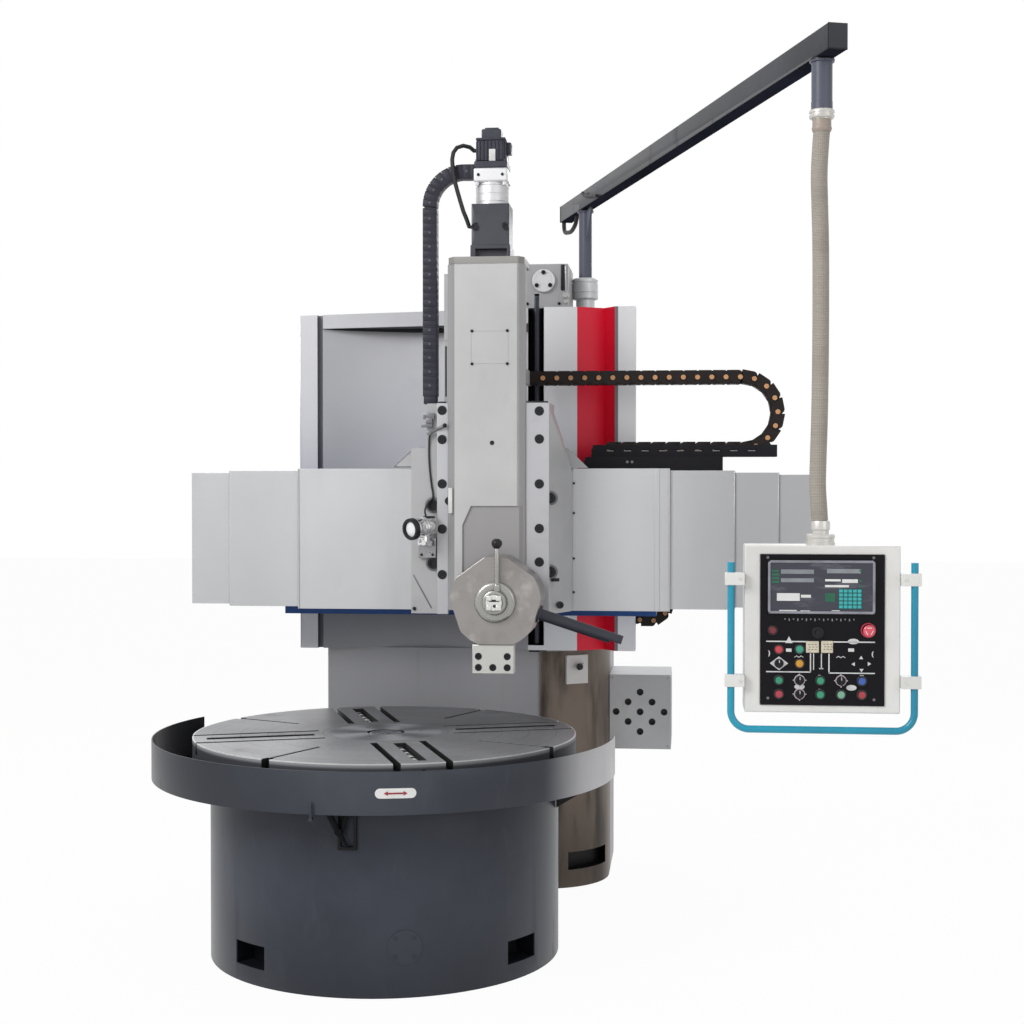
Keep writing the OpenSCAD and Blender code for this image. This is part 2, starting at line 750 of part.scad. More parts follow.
module saddle() {
    side = 70;
    color(paint_grey) difference() {
        union() {
            // plate on the crossrail's ways
            block([saddle_left, plate_y - 2, saddle_foot], [saddle_right, rail_y - seat, rail_top + 38]);
            // tall block around the ram
            block([tall_left, saddle_y, saddle_foot], [tall_right, plate_y, saddle_top]);
            // left wing
            block([saddle_left, saddle_y, saddle_foot], [tall_left + 1, plate_y, rail_top + 113]);
            // right wing, sloping back
            intersection() {
                translate([0, 0, saddle_foot]) linear_extrude(saddle_top - saddle_foot)
                    polygon([[tall_right - 1, saddle_y], [tall_right, saddle_y],
                        [saddle_right, plate_y - 50], [saddle_right, plate_y], [tall_right - 1, plate_y]]);
                plate_y([[tall_right - 8, saddle_foot], [saddle_right, saddle_foot],
                    [saddle_right, rail_top + 25], [saddle_right - 30, rail_top + 125],
                    [tall_right, rail_top + 250], [tall_right - 8, rail_top + 250]], saddle_y - 1, rail_depth);
            }
            // shoulders over the covers
            plate_y([[saddle_left - side - 10, cover_high + 2], [saddle_left + 1, cover_high + 2],
                [saddle_left + 1, cover_high + 82]], plate_y - 10, 30);
            plate_y([[saddle_right - 30, cover_high + 2], [saddle_right + 60, cover_high + 2],
                [saddle_right - 1, cover_high + 62], [saddle_right - 30, cover_high + 84]], plate_y - 10, 30);
            // nut of the feed screw
            block([ram_mid - 60, rail_y - 10, feed_z - 45], [ram_mid + 60, channel_y - 5, feed_z + 45]);
            // arm that carries the cable chain over the crossrail
            block([ram_right - 130, plate_y - 60, saddle_top - 40],
                [ram_right - 30, plate_y + 20, bend_z + bend_r + chain_t / 2]);
            block([ram_right - 60, plate_y, bend_z + bend_r - chain_t / 2],
                [ram_right - 30, chain_y + chain_w, bend_z + bend_r + chain_t / 2]);
        }
        // channel of the ram
        block([ram_left - guide_left - seat, saddle_y - 1, saddle_foot - 1],
            [ram_right + guide_right + seat, ram_back + seat, saddle_top + 400]);
        block([ram_left - seat, saddle_y - 1, saddle_foot - 1],
            [ram_right + seat, saddle_y + 1 + seat, saddle_top + 400]);
        bar_x(ram_mid - 61, feed_y, feed_z, feed_r + run, 122);
    }
}

// Two strips that hold the ram in the saddle
module saddle_gibs() {
    color(steel) {
        block([ram_left - gib_left_w, saddle_y - gib_t, saddle_foot], [ram_left - seat, saddle_y, saddle_top]);
        block([ram_right + seat, saddle_y - gib_t, saddle_foot], [ram_right + gib_right_w, saddle_y, saddle_top]);
    }
}

module ram() {
    color("#a5a5a3") difference() {
        union() {
            translate([0, 0, ram_foot]) linear_extrude(ram_top - ram_foot)
                polygon([[ram_left, ram_y + ram_chamfer], [ram_left + ram_chamfer, ram_y],
                    [ram_right - ram_chamfer, ram_y], [ram_right, ram_y + ram_chamfer],
                    [ram_right, saddle_y + 1], [ram_left, saddle_y + 1]]);
            block([ram_left - guide_left, saddle_y + seat, ram_foot],
                [ram_right + guide_right, ram_back, ram_top - 30]);
            translate([0, 0, ram_top]) linear_extrude(cap_t)
                polygon([[ram_left + 4, ram_y + 26], [ram_left + 26, ram_y - 4],
                    [ram_right - 26, ram_y - 4], [ram_right - 4, ram_y + 26],
                    [ram_right - 4, ram_back - 40], [ram_left + 4, ram_back - 40]]);
            // seat and pin of the turret
            bar_y(turret_x, turret_back + seat, turret_z, 92, ram_y - turret_back + 20);
            bar_y(turret_x, turret_front - 46, turret_z, pin_r, turret_t + 90);
        }
        // lower face, set back from the front cover
        plate_y([[ram_left + ram_chamfer + 60, turret_z + 341], [ram_left + ram_chamfer + 28, turret_z + 270],
            [ram_left + ram_chamfer + 28, turret_z + 60], [ram_right + 1, turret_z + 60],
            [ram_right + 1, turret_z + 341]], ram_y - 1, 9);
    }
}

module motor_bracket() {
    low = ram_top + cap_t;
    color(black) difference() {
        union() {
            block([motor_x - 75, motor_y - 70, low], [motor_x + 75, motor_y + 70, low + 50]);
            block([motor_x - 71, motor_y - 66, low + 50], [motor_x + 71, motor_y + 66, low + bracket_h]);
        }
        block([motor_x - 55, motor_y - 71, low + 6], [motor_x + 62, motor_y - 40, low + 36]);
        for (side = [-1, 1])
            bar_y(motor_x + side * 54, motor_y - 67, low + 125, 9, 12);
    }
}

module reducer() {
    low = ram_top + cap_t + bracket_h;
    color("silver") translate([motor_x, motor_y, low]) {
        cylinder(r = 62, h = reducer_h - 52);
        translate([-64, -64, reducer_h - 52]) cube([128, 128, 52]);
    }
}

module servo_motor() {
    low = ram_top + cap_t + bracket_h + reducer_h;
    color(black) translate([motor_x, motor_y, low]) {
        translate([-62, -62, 0]) cube([124, 124, 30]);
        translate([-56, -56, 30]) cube([112, 112, 80]);
        translate([-37, -37, 110]) cube([74, 74, 46]);
        translate([56, -25, 60]) cube([18, 50, 40]);
    }
}

// Enclosed cable carrier from the saddle up to the motor
module ram_carrier() {
    x = saddle_left + 66;
    y = motor_y - 30;
    z = ram_top + cap_t + bracket_h;
    r = 128;
    half = 28;
    color(black) {
        block([x - half, y, saddle_top], [x + half, y + 60, z]);
        translate([x + r, y + 60, z]) rotate([90, 0, 0])
            rotate(90) rotate_extrude(angle = 90) translate([r - half, 0]) square([2 * half, 60]);
        block([x + r, y, z + r - half], [motor_x - 64 - seat, y + 60, z + r + half]);
    }
}

module ram_hose() {
    color(black) translate([motor_x, motor_y, ram_top]) swept_tube(ram_hose_route, 8, 10);
}

// Five-sided turret with a flat at its foot
module turret() {
    color("#9c9a97") difference() {
        translate([turret_x, turret_back, turret_z]) rotate([90, 0, 0]) linear_extrude(turret_t)
            intersection() {
                circle(r = turret_d / 2, $fn = 128);
                rotate(-90) polygon([for (i = [0:4]) turret_flat / cos(36) * [cos(72 * i + 36), sin(72 * i + 36)]]);
            }
        bar_y(turret_x, turret_front - 1, turret_z, pin_r + run, turret_t + 2);
        // socket of the boring bar
        translate([turret_x, bar_y, turret_z]) rotate([0, -bar_turn, 0]) rotate([0, 90, 0])
            translate([0, 0, turret_flat - 70]) cylinder(r = bar_d / 2 + run, h = 200);
    }
}

// Clamping lever with its hub in front of the turret
module turret_lever() {
    y = turret_front - seat;
    color("silver") difference() {
        union() {
            bar_y(turret_x, y - 22, turret_z, 74, 22);
            bar_y(turret_x, y - 42, turret_z, 44, 22);
            translate([turret_x + 9, y - 30, turret_z + 40]) cylinder(r = 8.5, h = 160);
            translate([turret_x + 9, y - 30, turret_z + 211]) sphere(r = 18);
        }
        bar_y(turret_x, y - 43, turret_z, pin_r + run, 60);
    }
}

module boring_bar() {
    color("#3c3e42") translate([turret_x, bar_y, turret_z]) rotate([0, -bar_turn, 0]) rotate([0, 90, 0])
        difference() {
            translate([0, 0, turret_flat - 70 + seat]) cylinder(r = bar_d / 2, h = 388);
            translate([bar_d / 2 - 12, -bar_d, 430]) cube([20, 2 * bar_d, 50]);
        }
}

module tool_plate() {
    top = turret_z - turret_flat;
    color("silver") difference() {
        block([turret_x - 84, turret_front + 8, top - 104], [turret_x + 65, turret_front + 68, top]);
        for (p = [[-62, -42], [42, -42], [-62, -82], [-10, -82], [42, -82]])
            bar_y(turret_x + p[0], turret_front + 7, top + p[1], 13, 12);
    }
}

module lamp_mount() {
    color("silver") {
        block([lamp_x - 44, saddle_y - 20, lamp_foot], [lamp_x + 22, saddle_y, lamp_foot + 75]);
        block([lamp_x - 20, lamp_y - 14, lamp_foot + 45], [lamp_x + 16, saddle_y - 19, lamp_foot + 67]);
        translate([lamp_x, lamp_y, lamp_foot + 55]) cylinder(r = lamp_pin_r, h = 50);
    }
}

// Lamp that aims at the tool
module lamp_head() {
    color("silver") difference() {
        translate([lamp_x, lamp_y, lamp_z]) rotate([0, 0, -37]) rotate([96, 0, 0]) {
            translate([0, 0, -22]) cylinder(r = 30, h = 73);
            translate([0, 0, 50]) cylinder(r = 36, h = 28);
        }
        translate([lamp_x, lamp_y, lamp_foot + 45]) cylinder(r = lamp_pin_r + run, h = 60 + seat);
    }
}

// ---------- boom and pendant ----------

module boom_collar() {
    color(steel) difference() {
        translate([post_x, post_y, column_h]) union() {
            cylinder(r = 38, h = 66);
            translate([0, 0, 65]) cylinder(r = 51, h = 90);
        }
        translate([post_x, post_y, column_h + 20]) cylinder(r = post_r + run, h = 200);
    }
}

module boom() {
    color(paint_dark) translate([post_x, post_y, 0]) {
        translate([0, 0, column_h + 20 + seat]) cylinder(r = post_r, h = boom_z - column_h - 30);
        rotate(boom_turn) {
            block([-boom_w / 2, -boom_reach - 111, boom_z - boom_h / 2], [boom_w / 2, 350, boom_z + boom_h / 2]);
            translate([0, -boom_reach, boom_z - boom_h / 2 - pipe_drop]) cylinder(r = pipe_r, h = pipe_drop + 6);
            // gusset between the post and the boom
            rotate([90, 0, 90]) translate([0, 0, -4]) linear_extrude(8)
                polygon([[-26, boom_z - 180], [-110, boom_z - boom_h / 2 + 1], [-26, boom_z - boom_h / 2 + 1]]);
        }
    }
}

module pendant_hose() {
    low = box_top + 66;
    long = hose_top - 56 - low;
    color("#b5aa98") translate([pipe_x, pipe_y, 0]) {
        translate([0, 0, hose_top - 27]) cylinder(r = 35, h = 27);
        translate([0, 0, hose_top - 65]) cylinder(r = 26, h = 39);
        swept_tube([for (p = pendant_hose_route) [p[0], p[1], low + p[2] * long]], hose_r, 12);
        translate([0, 0, box_top + 28]) cylinder(r = 21, h = 42);
        translate([0, 0, box_top]) cylinder(r = 40, h = 29);
    }
}

module pendant_box() {
    color("#dcdad2") difference() {
        block([box_left, box_front, box_foot], [box_right, box_front + box_depth, box_top]);
        block([box_left + 44, box_front - 1, box_foot + 24],
            [box_right - 44, box_front + box_depth - 12, box_top - 26]);
    }
}

// Black front plate with the window of the readout and the holes of the buttons
module pendant_panel() {
    color(black) difference() {
        union() {
            block([box_left + 43, panel_front, box_foot + 21],
                [box_right - 43, box_front, box_top - 24]);
            block([box_left + 63, panel_front - 14, box_foot + 274],
                [box_right - 70, panel_front + 1, box_top - 40]);
        }
        for (key = pendant_keys()) bar_y(key[0], panel_front - 1, key[1], key[2] + 0.5, 12);
    }
}

// Place and shaft radius of every key: x, z, radius
function pendant_keys() = [
    for (k = [[0, 2], [0, 3], [2, 2], [2, 3], [4, 2], [4, 3], [3, 3], [0, 1], [1, 2], [1, 3], [3, 2]])
        [pendant_columns[k[0]], pendant_rows[k[1]], key_shaft_r],
    [stop_x, stop_z, stop_shaft_r]
];

module push_button(column, row, tint) {
    x = pendant_columns[column];
    z = pendant_rows[row];
    color(tint) {
        bar_y(x, panel_front - 12, z, button_d / 2, 7);
        bar_y(x, panel_front - 6, z, key_shaft_r, 40);
    }
}

module selector(column, row) {
    x = pendant_columns[column];
    z = pendant_rows[row];
    color("silver") {
        bar_y(x, panel_front - 8, z, 13, 8 - seat);
        bar_y(x, panel_front - 2, z, key_shaft_r, 36);
        block([x - 4, panel_front - 20, z - 12], [x + 4, panel_front - 7, z + 12]);
    }
}

module emergency_stop() {
    color("crimson") {
        bar_y(stop_x, panel_front - 30, stop_z, 18, 14);
        bar_y(stop_x, panel_front - 17, stop_z, stop_shaft_r, 50);
    }
}

// Tube handle around the pendant, on four brackets
module pendant_handle() {
    r = 10;
    low = box_foot - handle_drop;
    high = box_top - handle_drop;
    half = box_w / 2 + 37;
    bend = 50;
    y = box_front - 6;
    color("#1c8fae") translate([pipe_x, y, 0]) {
        for (side = [-1, 1]) {
            translate([side * half, 0, low + bend]) cylinder(r = r, h = high - low - bend);
            translate([side * (half - bend), 0, low + bend]) rotate([90, 0, 0])
                rotate(side == 1 ? -90 : 180) rotate_extrude(angle = 90) translate([bend, 0]) circle(r = r);
        }
        bar_x(-half + bend, 0, low, r, 2 * (half - bend));
        for (side = [-1, 1]) for (z = [box_top - 92, box_foot + 88])
            block([side == 1 ? box_w / 2 : -half - 17, -r - 4, z - 17],
                [side == 1 ? half + 17 : -box_w / 2, r + 4, z + 17]);
    }
}

base();
splash_guard();
table();
spindle();
ring_gear();
jaw_screw(1);  // jaw_screw_1
jaw_screw(2);  // jaw_screw_2
jaw_screw(3);  // jaw_screw_3
jaw_screw(4);  // jaw_screw_4
drive_pinion();
main_motor();
column();
electric_box();
lock_plate();
lift_gearbox();
lift_screw();
crossrail();
feed_screw();
chain_tray();
chain_run();
chain_top();
chain_bend();
lift_chain();
inner_covers();
end_covers();
left_cover();
right_cover_1();
right_cover_2();
saddle();
saddle_gibs();
ram();
motor_bracket();
reducer();
servo_motor();
ram_carrier();
ram_hose();
turret();
turret_lever();
boring_bar();
tool_plate();
lamp_mount();
lamp_head();
boom_collar();
boom();
pendant_hose();
pendant_box();
pendant_panel();
pendant_handle();
push_button(0, 2, "green");  // button_start
push_button(0, 3, "crimson");  // button_stop
push_button(2, 2, "green");  // button_up
push_button(2, 3, "green");  // button_down
push_button(4, 2, "royalblue");  // button_oil
push_button(3, 3, "darkseagreen");  // button_jog
push_button(4, 3, "firebrick");  // button_reset
emergency_stop();
selector(0, 1);  // selector_mode
selector(1, 2);  // selector_feed
selector(1, 3);  // selector_speed
selector(3, 2);  // selector_axis
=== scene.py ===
import json
from math import cos, pi, radians, sin
import bmesh
import bpy
from mathutils import Matrix, Vector

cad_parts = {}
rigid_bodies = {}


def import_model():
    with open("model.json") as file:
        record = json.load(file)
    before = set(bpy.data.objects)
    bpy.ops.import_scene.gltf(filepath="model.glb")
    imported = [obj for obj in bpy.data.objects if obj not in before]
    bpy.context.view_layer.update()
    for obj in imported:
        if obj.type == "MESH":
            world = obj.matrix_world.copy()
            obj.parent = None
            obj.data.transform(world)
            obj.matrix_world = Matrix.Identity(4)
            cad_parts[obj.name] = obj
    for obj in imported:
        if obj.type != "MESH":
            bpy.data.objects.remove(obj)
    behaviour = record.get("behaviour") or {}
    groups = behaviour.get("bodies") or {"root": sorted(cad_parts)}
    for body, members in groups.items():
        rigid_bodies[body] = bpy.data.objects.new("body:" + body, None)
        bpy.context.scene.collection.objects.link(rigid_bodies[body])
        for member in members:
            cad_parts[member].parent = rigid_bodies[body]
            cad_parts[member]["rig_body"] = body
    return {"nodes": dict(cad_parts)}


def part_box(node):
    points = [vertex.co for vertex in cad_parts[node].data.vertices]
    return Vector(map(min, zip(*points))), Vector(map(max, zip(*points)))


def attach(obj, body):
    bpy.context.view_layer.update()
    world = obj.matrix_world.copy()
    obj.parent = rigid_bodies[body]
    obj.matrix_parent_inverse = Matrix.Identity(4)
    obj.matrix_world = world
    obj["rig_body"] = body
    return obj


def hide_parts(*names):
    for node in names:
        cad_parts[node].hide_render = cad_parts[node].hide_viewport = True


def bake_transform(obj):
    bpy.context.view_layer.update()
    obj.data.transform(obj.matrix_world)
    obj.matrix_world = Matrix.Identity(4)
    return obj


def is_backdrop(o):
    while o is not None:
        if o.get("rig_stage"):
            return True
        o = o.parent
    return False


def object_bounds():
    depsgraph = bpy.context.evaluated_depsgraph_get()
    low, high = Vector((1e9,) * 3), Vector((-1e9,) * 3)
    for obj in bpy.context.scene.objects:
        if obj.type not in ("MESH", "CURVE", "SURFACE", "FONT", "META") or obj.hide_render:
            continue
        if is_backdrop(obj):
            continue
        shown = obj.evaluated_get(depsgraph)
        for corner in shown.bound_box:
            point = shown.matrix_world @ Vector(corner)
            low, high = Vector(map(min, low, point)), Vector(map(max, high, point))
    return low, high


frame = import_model()
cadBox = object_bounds()
nodes = frame["nodes"]
print("frame loaded:", len(nodes), "nodes")


# shader tools

class Wire:
    # a shader socket that takes part in arithmetic
    def __init__(self, look, socket):
        self.look = look
        self.socket = socket

    def maths(self, kind, first, second):
        return self.look.node("ShaderNodeMath", {"operation": kind}, {0: first, 1: second})

    def __add__(self, other):
        return self.maths("ADD", self, other)

    def __radd__(self, other):
        return self.maths("ADD", other, self)

    def __sub__(self, other):
        return self.maths("SUBTRACT", self, other)

    def __rsub__(self, other):
        return self.maths("SUBTRACT", other, self)

    def __mul__(self, other):
        return self.maths("MULTIPLY", self, other)

    def __truediv__(self, other):
        return self.maths("DIVIDE", self, other)


class Look:
    def __init__(self, name, **fixed):
        self.material = bpy.data.materials.new(name)
        self.material.use_nodes = True
        self.tree = self.material.node_tree
        self.tree.nodes.clear()
        self.skin = self.tree.nodes.new("ShaderNodeBsdfPrincipled")
        end = self.tree.nodes.new("ShaderNodeOutputMaterial")
        self.tree.links.new(self.skin.outputs[0], end.inputs[0])
        for key, value in fixed.items():  # values that are the same all over the surface
            self.skin.inputs[key.replace("_", " ")].default_value = value
        self.at = self.node("ShaderNodeTexCoord", output="Object")

    def node(self, kind, settings=None, inputs=None, output=0):
        made = self.tree.nodes.new(kind)
        for key, value in (settings or {}).items():
            setattr(made, key, value)
        for key, value in (inputs or {}).items():
            self.feed(made, key, value)
        return Wire(self, made.outputs[output])

    def feed(self, made, key, value):
        # a wire, a plain value or a colour's code
        if isinstance(value, Wire):
            self.tree.links.new(value.socket, made.inputs[key])
        else:
            made.inputs[key].default_value = tone(value) if isinstance(value, str) else value

    def mix(self, amount, first, second):
        return self.node("ShaderNodeMix", {"data_type": "RGBA"}, {0: amount, 6: first, 7: second}, 2)

    def noise(self, scale, detail=3.0, at=None, rough=0.55):
        return self.node("ShaderNodeTexNoise", None, {"Vector": at or self.at, "Scale": scale, "Detail": detail,
            "Roughness": rough})

    def stretched(self, scale, turn=(0, 0, 0), shift=(0, 0, 0)):
        return self.node("ShaderNodeMapping", None, {"Vector": self.at, "Scale": scale, "Rotation": turn,
            "Location": shift})

    def axes(self):
        first = self.node("ShaderNodeSeparateXYZ", None, {0: self.at})
        return [Wire(self, out) for out in first.socket.node.outputs]

    def step(self, value, low, high):
        return self.node("ShaderNodeMapRange", {"interpolation_type": "SMOOTHSTEP"}, {"Value": value, "From Min": low,
            "From Max": high})

    def band(self, value, low, high, soft=0.001):
        return self.step(value, low - soft, low + soft) * (1 - self.step(value, high - soft, high + soft))

    def far(self):
        # distance from the table's axis
        flat = self.node("ShaderNodeVectorMath", {"operation": "MULTIPLY"}, {0: self.at, 1: (1, 1, 0)})
        return self.node("ShaderNodeVectorMath", {"operation": "LENGTH"}, {0: flat}, "Value")

    def sine(self, value):
        return self.node("ShaderNodeMath", {"operation": "SINE"}, {0: value})

    def heading(self, x, y):
        return self.node("ShaderNodeMath", {"operation": "ARCTAN2"}, {0: y, 1: x})

    def zoned(self, colour, zones):
        # zones gives rows of a mask, a colour and an amount
        for mask, code, amount in zones(self, *self.axes()):
            colour = self.mix(mask * amount, colour, code)
        return colour

    def finish(self, colour, rough, bump=None, metal=None):
        self.feed(self.skin, "Base Color", colour)
        self.feed(self.skin, "Roughness", rough)
        if metal is not None:
            self.feed(self.skin, "Metallic", metal)
        if bump is not None:
            height, strength, depth = bump
            self.feed(self.skin, "Normal", self.node("ShaderNodeBump", None, {"Height": height, "Strength": strength,
                "Distance": depth}, "Normal"))
        return self.material


def tone(code):
    # a colour written as on screen, made linear
    parts = [int(code[k:k + 2], 16) / 255 for k in (0, 2, 4)]
    return tuple(p / 12.92 if p < 0.04045 else ((p + 0.055) / 1.055) ** 2.4 for p in parts) + (1.0,)


def noZones(look, x, y, z):
    return ()


def paintLook(name, colour, dark, rough=0.35, peel=0.12, dust=0.1, dustColour="8a8a8a", coat=0.0, shine=0.5,
        zones=noZones):
    look = Look(name, Coat_Weight=coat, Coat_Roughness=0.15, Specular_IOR_Level=shine)
    cloud = look.noise(2.2, 5)
    grain = look.noise(420, 2)
    scuffs = look.step(look.noise(14, 6, look.stretched((1, 1, 0.35))), 0.58, 0.72)
    colourNow = look.mix(look.step(cloud, 0.3, 0.7), dark, colour)
    colourNow = look.zoned(look.mix(scuffs * dust, colourNow, dustColour), zones)
    return look.finish(colourNow, rough + (cloud - 0.5) * 0.16 + scuffs * 0.12, (grain + look.noise(35, 3) * 0.6,
        peel, 0.0006))


def metalLook(name, colour, dark, rough=0.3, along=(40, 900, 900), streak=0.25, stain=0.15, stainColour="4a443c",
        metal=1.0, zones=noZones):
    look = Look(name, Metallic=metal)
    brush = look.noise(1.0, 4, look.stretched(along), 0.6)
    cloud = look.noise(5, 5)
    blot = look.step(look.noise(9, 6), 0.55, 0.8)
    colourNow = look.mix(brush * streak + cloud * 0.5, dark, colour)
    colourNow = look.zoned(look.mix(blot * stain, colourNow, stainColour), zones)
    return look.finish(colourNow, rough + (brush - 0.5) * 0.2 + blot * 0.12, (brush, 0.1, 0.0004))


def plasticLook(name, colour, rough=0.4, grain=0.08, shade=0.75, shine=0.5):
    look = Look(name, Specular_IOR_Level=shine)
    base = tone(colour)
    dark = tuple(c * shade for c in base[:3]) + (1.0,)
    cloud = look.noise(18, 4)
    return look.finish(look.mix(look.step(cloud, 0.3, 0.75), dark, base), rough + (cloud - 0.5) * 0.15,
        (look.noise(700, 2), grain, 0.0003))


# mesh tools

def slab(bm, low, high, edge=0.0, steps=2, at=(0, 0, 0)):
    made = bmesh.ops.create_cube(bm, size=1)["verts"]
    low, high = Vector(low) + Vector(at), Vector(high) + Vector(at)
    bmesh.ops.scale(bm, vec=high - low, verts=made)
    bmesh.ops.translate(bm, vec=(low + high) / 2, verts=made)
    if edge:
        made = rounded(bm, made, edge, steps)
    return made


def rounded(bm, made, edge, steps=2, angle=30):
    sharp = {e for v in made for e in v.link_edges if len(e.link_faces) == 2 and e.calc_face_angle() > radians(angle)}
    got = bmesh.ops.bevel(bm, geom=list(sharp), offset=edge, offset_type="OFFSET", affect="EDGES", segments=steps,
        profile=0.5, material=-1, clamp_overlap=True)
    return list({v for v in made if v.is_valid} | set(got["verts"]))


def rod(bm, start, end, r, sides=24, tip=None, edge=0.0, steps=2):
    start, end = Vector(start), Vector(end)
    way = end - start
    place = Matrix.Translation((start + end) / 2) @ way.to_track_quat("Z", "Y").to_matrix().to_4x4()
    made = bmesh.ops.create_cone(bm, cap_ends=True, segments=sides, radius1=r, radius2=r if tip is None else tip,
        depth=way.length, matrix=place)["verts"]
    if edge:
        made = rounded(bm, made, edge, steps, 50)
    return made


def ball(bm, at, r, sides=24):
    return bmesh.ops.create_uvsphere(bm, u_segments=sides, v_segments=sides // 2, radius=r,
        matrix=Matrix.Translation(at))["verts"]


def screwHead(bm, at, out, r, h, socket=0.55):
    # a cap screw's head with its socket sunk in
    at, out = Vector(at), Vector(out).normalized()
    made = rod(bm, at, at + out * h, r, 20)
    cap = max((f for v in made for f in v.link_faces), key=lambda f: (f.calc_center_median() - at).dot(out))
    bmesh.ops.inset_individual(bm, faces=[cap], thickness=r * 0.12, depth=0)
    bmesh.ops.inset_individual(bm, faces=[cap], thickness=r * (0.88 - socket), depth=0)
    bmesh.ops.inset_individual(bm, faces=[cap], thickness=r * 0.02, depth=-h * 0.7)
    return made


def hexHead(bm, at, out, r, h):
    at, out = Vector(at), Vector(out).normalized()
    rod(bm, at, at + out * h * 0.25, r * 1.25, 24)
    made = rod(bm, at + out * h * 0.25, at + out * h, r, 6)
    return rounded(bm, made, h * 0.08, 1, 40)


def outline(bm, points, depth, edge=0.0, steps=2):
    # a flat face pushed along depth
    verts = [bm.verts.new(p) for p in points]
    face = bm.faces.new(verts)
    got = bmesh.ops.extrude_face_region(bm, geom=[face])["geom"]
    moved = [g for g in got if isinstance(g, bmesh.types.BMVert)]
    bmesh.ops.translate(bm, vec=depth, verts=moved)
    made = verts + moved
    bmesh.ops.recalc_face_normals(bm, faces=list({f for v in made for f in v.link_faces}))
    if edge:
        made = rounded(bm, made, edge, steps)
    return made


def piece(name, bm, body, look, stands=(), angle=35):
    mesh = bpy.data.meshes.new(name)
    bm.normal_update()
    for face in bm.faces:  # wide plane faces stay flat, so that their broken edges don't bend the light
        turns = [line.calc_face_angle() for line in face.edges if len(line.link_faces) == 2]
        face.smooth = face.calc_area() < 0.0015 or any(0.01 < turn < 0.17 for turn in turns)
    for line in bm.edges:
        line.smooth = len(line.link_faces) != 2 or line.calc_face_angle() < radians(angle)
    bm.to_mesh(mesh)
    bm.free()
    made = bpy.data.objects.new(name, mesh)
    bpy.context.scene.collection.objects.link(made)
    mesh.materials.append(look)
    if body:
        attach(made, body)
    if stands:
        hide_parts(*stands)
    return made


def curveTube(name, points, r, body, look, sides=4):
    line = bpy.data.curves.new(name, "CURVE")
    line.dimensions = "3D"
    line.bevel_depth = r
    line.bevel_resolution = sides
    line.resolution_u = 6
    line.use_fill_caps = True
    spline = line.splines.new("BEZIER")
    spline.bezier_points.add(len(points) - 1)
    for dot, p in zip(spline.bezier_points, points):
        dot.co = p
        dot.handle_left_type = dot.handle_right_type = "AUTO"
    made = bpy.data.objects.new(name, line)
    bpy.context.scene.collection.objects.link(made)
    line.materials.append(look)
    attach(made, body)
    return made


def refined(node, edge, look, steps=2, angle=40):
    # a copy of a CAD node with its edges broken, which stands for the node
    bm = bmesh.new()
    bm.from_mesh(nodes[node].data)
    bmesh.ops.remove_doubles(bm, verts=bm.verts, dist=0.00002)
    bmesh.ops.dissolve_limit(bm, angle_limit=radians(0.4), use_dissolve_boundaries=False, verts=bm.verts,
        edges=bm.edges, delimit={"NORMAL"})
    short = edge * 2.5
    lines = [e for e in bm.edges if len(e.link_faces) == 2 and e.is_manifold
        and e.calc_face_angle() > radians(angle) and e.calc_length() > short]
    bmesh.ops.bevel(bm, geom=lines, offset=edge, offset_type="OFFSET", affect="EDGES", segments=steps, profile=0.5,
        material=-1, clamp_overlap=True)
    return piece(node + "Body", bm, nodes[node]["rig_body"], look, (node,), angle=30)


def dress(look, *names):
    for name in names:
        nodes[name].data.materials.clear()
        nodes[name].data.materials.append(look)


# finishes

black = tone("050507")

baseBox, guardBox, ramBox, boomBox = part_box("base"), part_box("splash_guard"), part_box("ram"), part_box("boom")
baseR, guardR = -baseBox[0].x, (guardBox[1].x - guardBox[0].x) / 2
# base paint: painted black shade inside the foundation pockets, darker towards the bottom, and a painted shadow under
# the guard near the top
basePaint = paintLook("basePaint", "3f434d", "343741", rough=0.32, peel=0.16, dust=0.1, dustColour="5d6068",
    shine=0.22, zones=lambda look, x, y, z: (
    ((1 - look.step(look.far(), baseR - 0.006, baseR - 0.004)) * (1 - look.step(z, baseBox[1].z - 0.03,
    baseBox[1].z - 0.028)), "08080b", 1.0),
    ((1 - look.step(z, 0.0, 0.34)), "26292f", 0.4),
    (look.step(z, baseBox[1].z - 0.12, baseBox[1].z), "1d1f25", 0.5)))
# guard paint: painted shade on its left part, a painted reflection with streaks on its right end, and painted black
# shade on the inner surfaces of the band
guardPaint = paintLook("guardPaint", "43474f", "383b44", rough=0.32, peel=0.14, dust=0.1, dustColour="5d6068",
    shine=0.22, zones=lambda look, x, y, z: (
    (1 - look.step(x, guardR * -0.75, guardR * 0.1), "24262d", 0.85),
    (look.step(x, guardR * 0.74, guardR * 0.93) * (look.noise(1.0, 4, look.stretched((6, 6, 3))) * 0.4 + 0.75),
    "d2d1d3", 0.85),
    (1 - look.step(look.far(), guardR - 0.003, guardR - 0.0015), "0a0a0e", 1.0)))
greyPaint = paintLook("greyPaint", "b9b9bb", "adadb0", rough=0.42, dust=0.08, dustColour="97948f")
saddlePaint = paintLook("saddlePaint", "b9b9ba", "a8a8aa", rough=0.4, dust=0.16, dustColour="8d8a85")
ramLeft, ramRight, ramFace = ramBox[0].x + 0.018, ramBox[1].x, 0.1
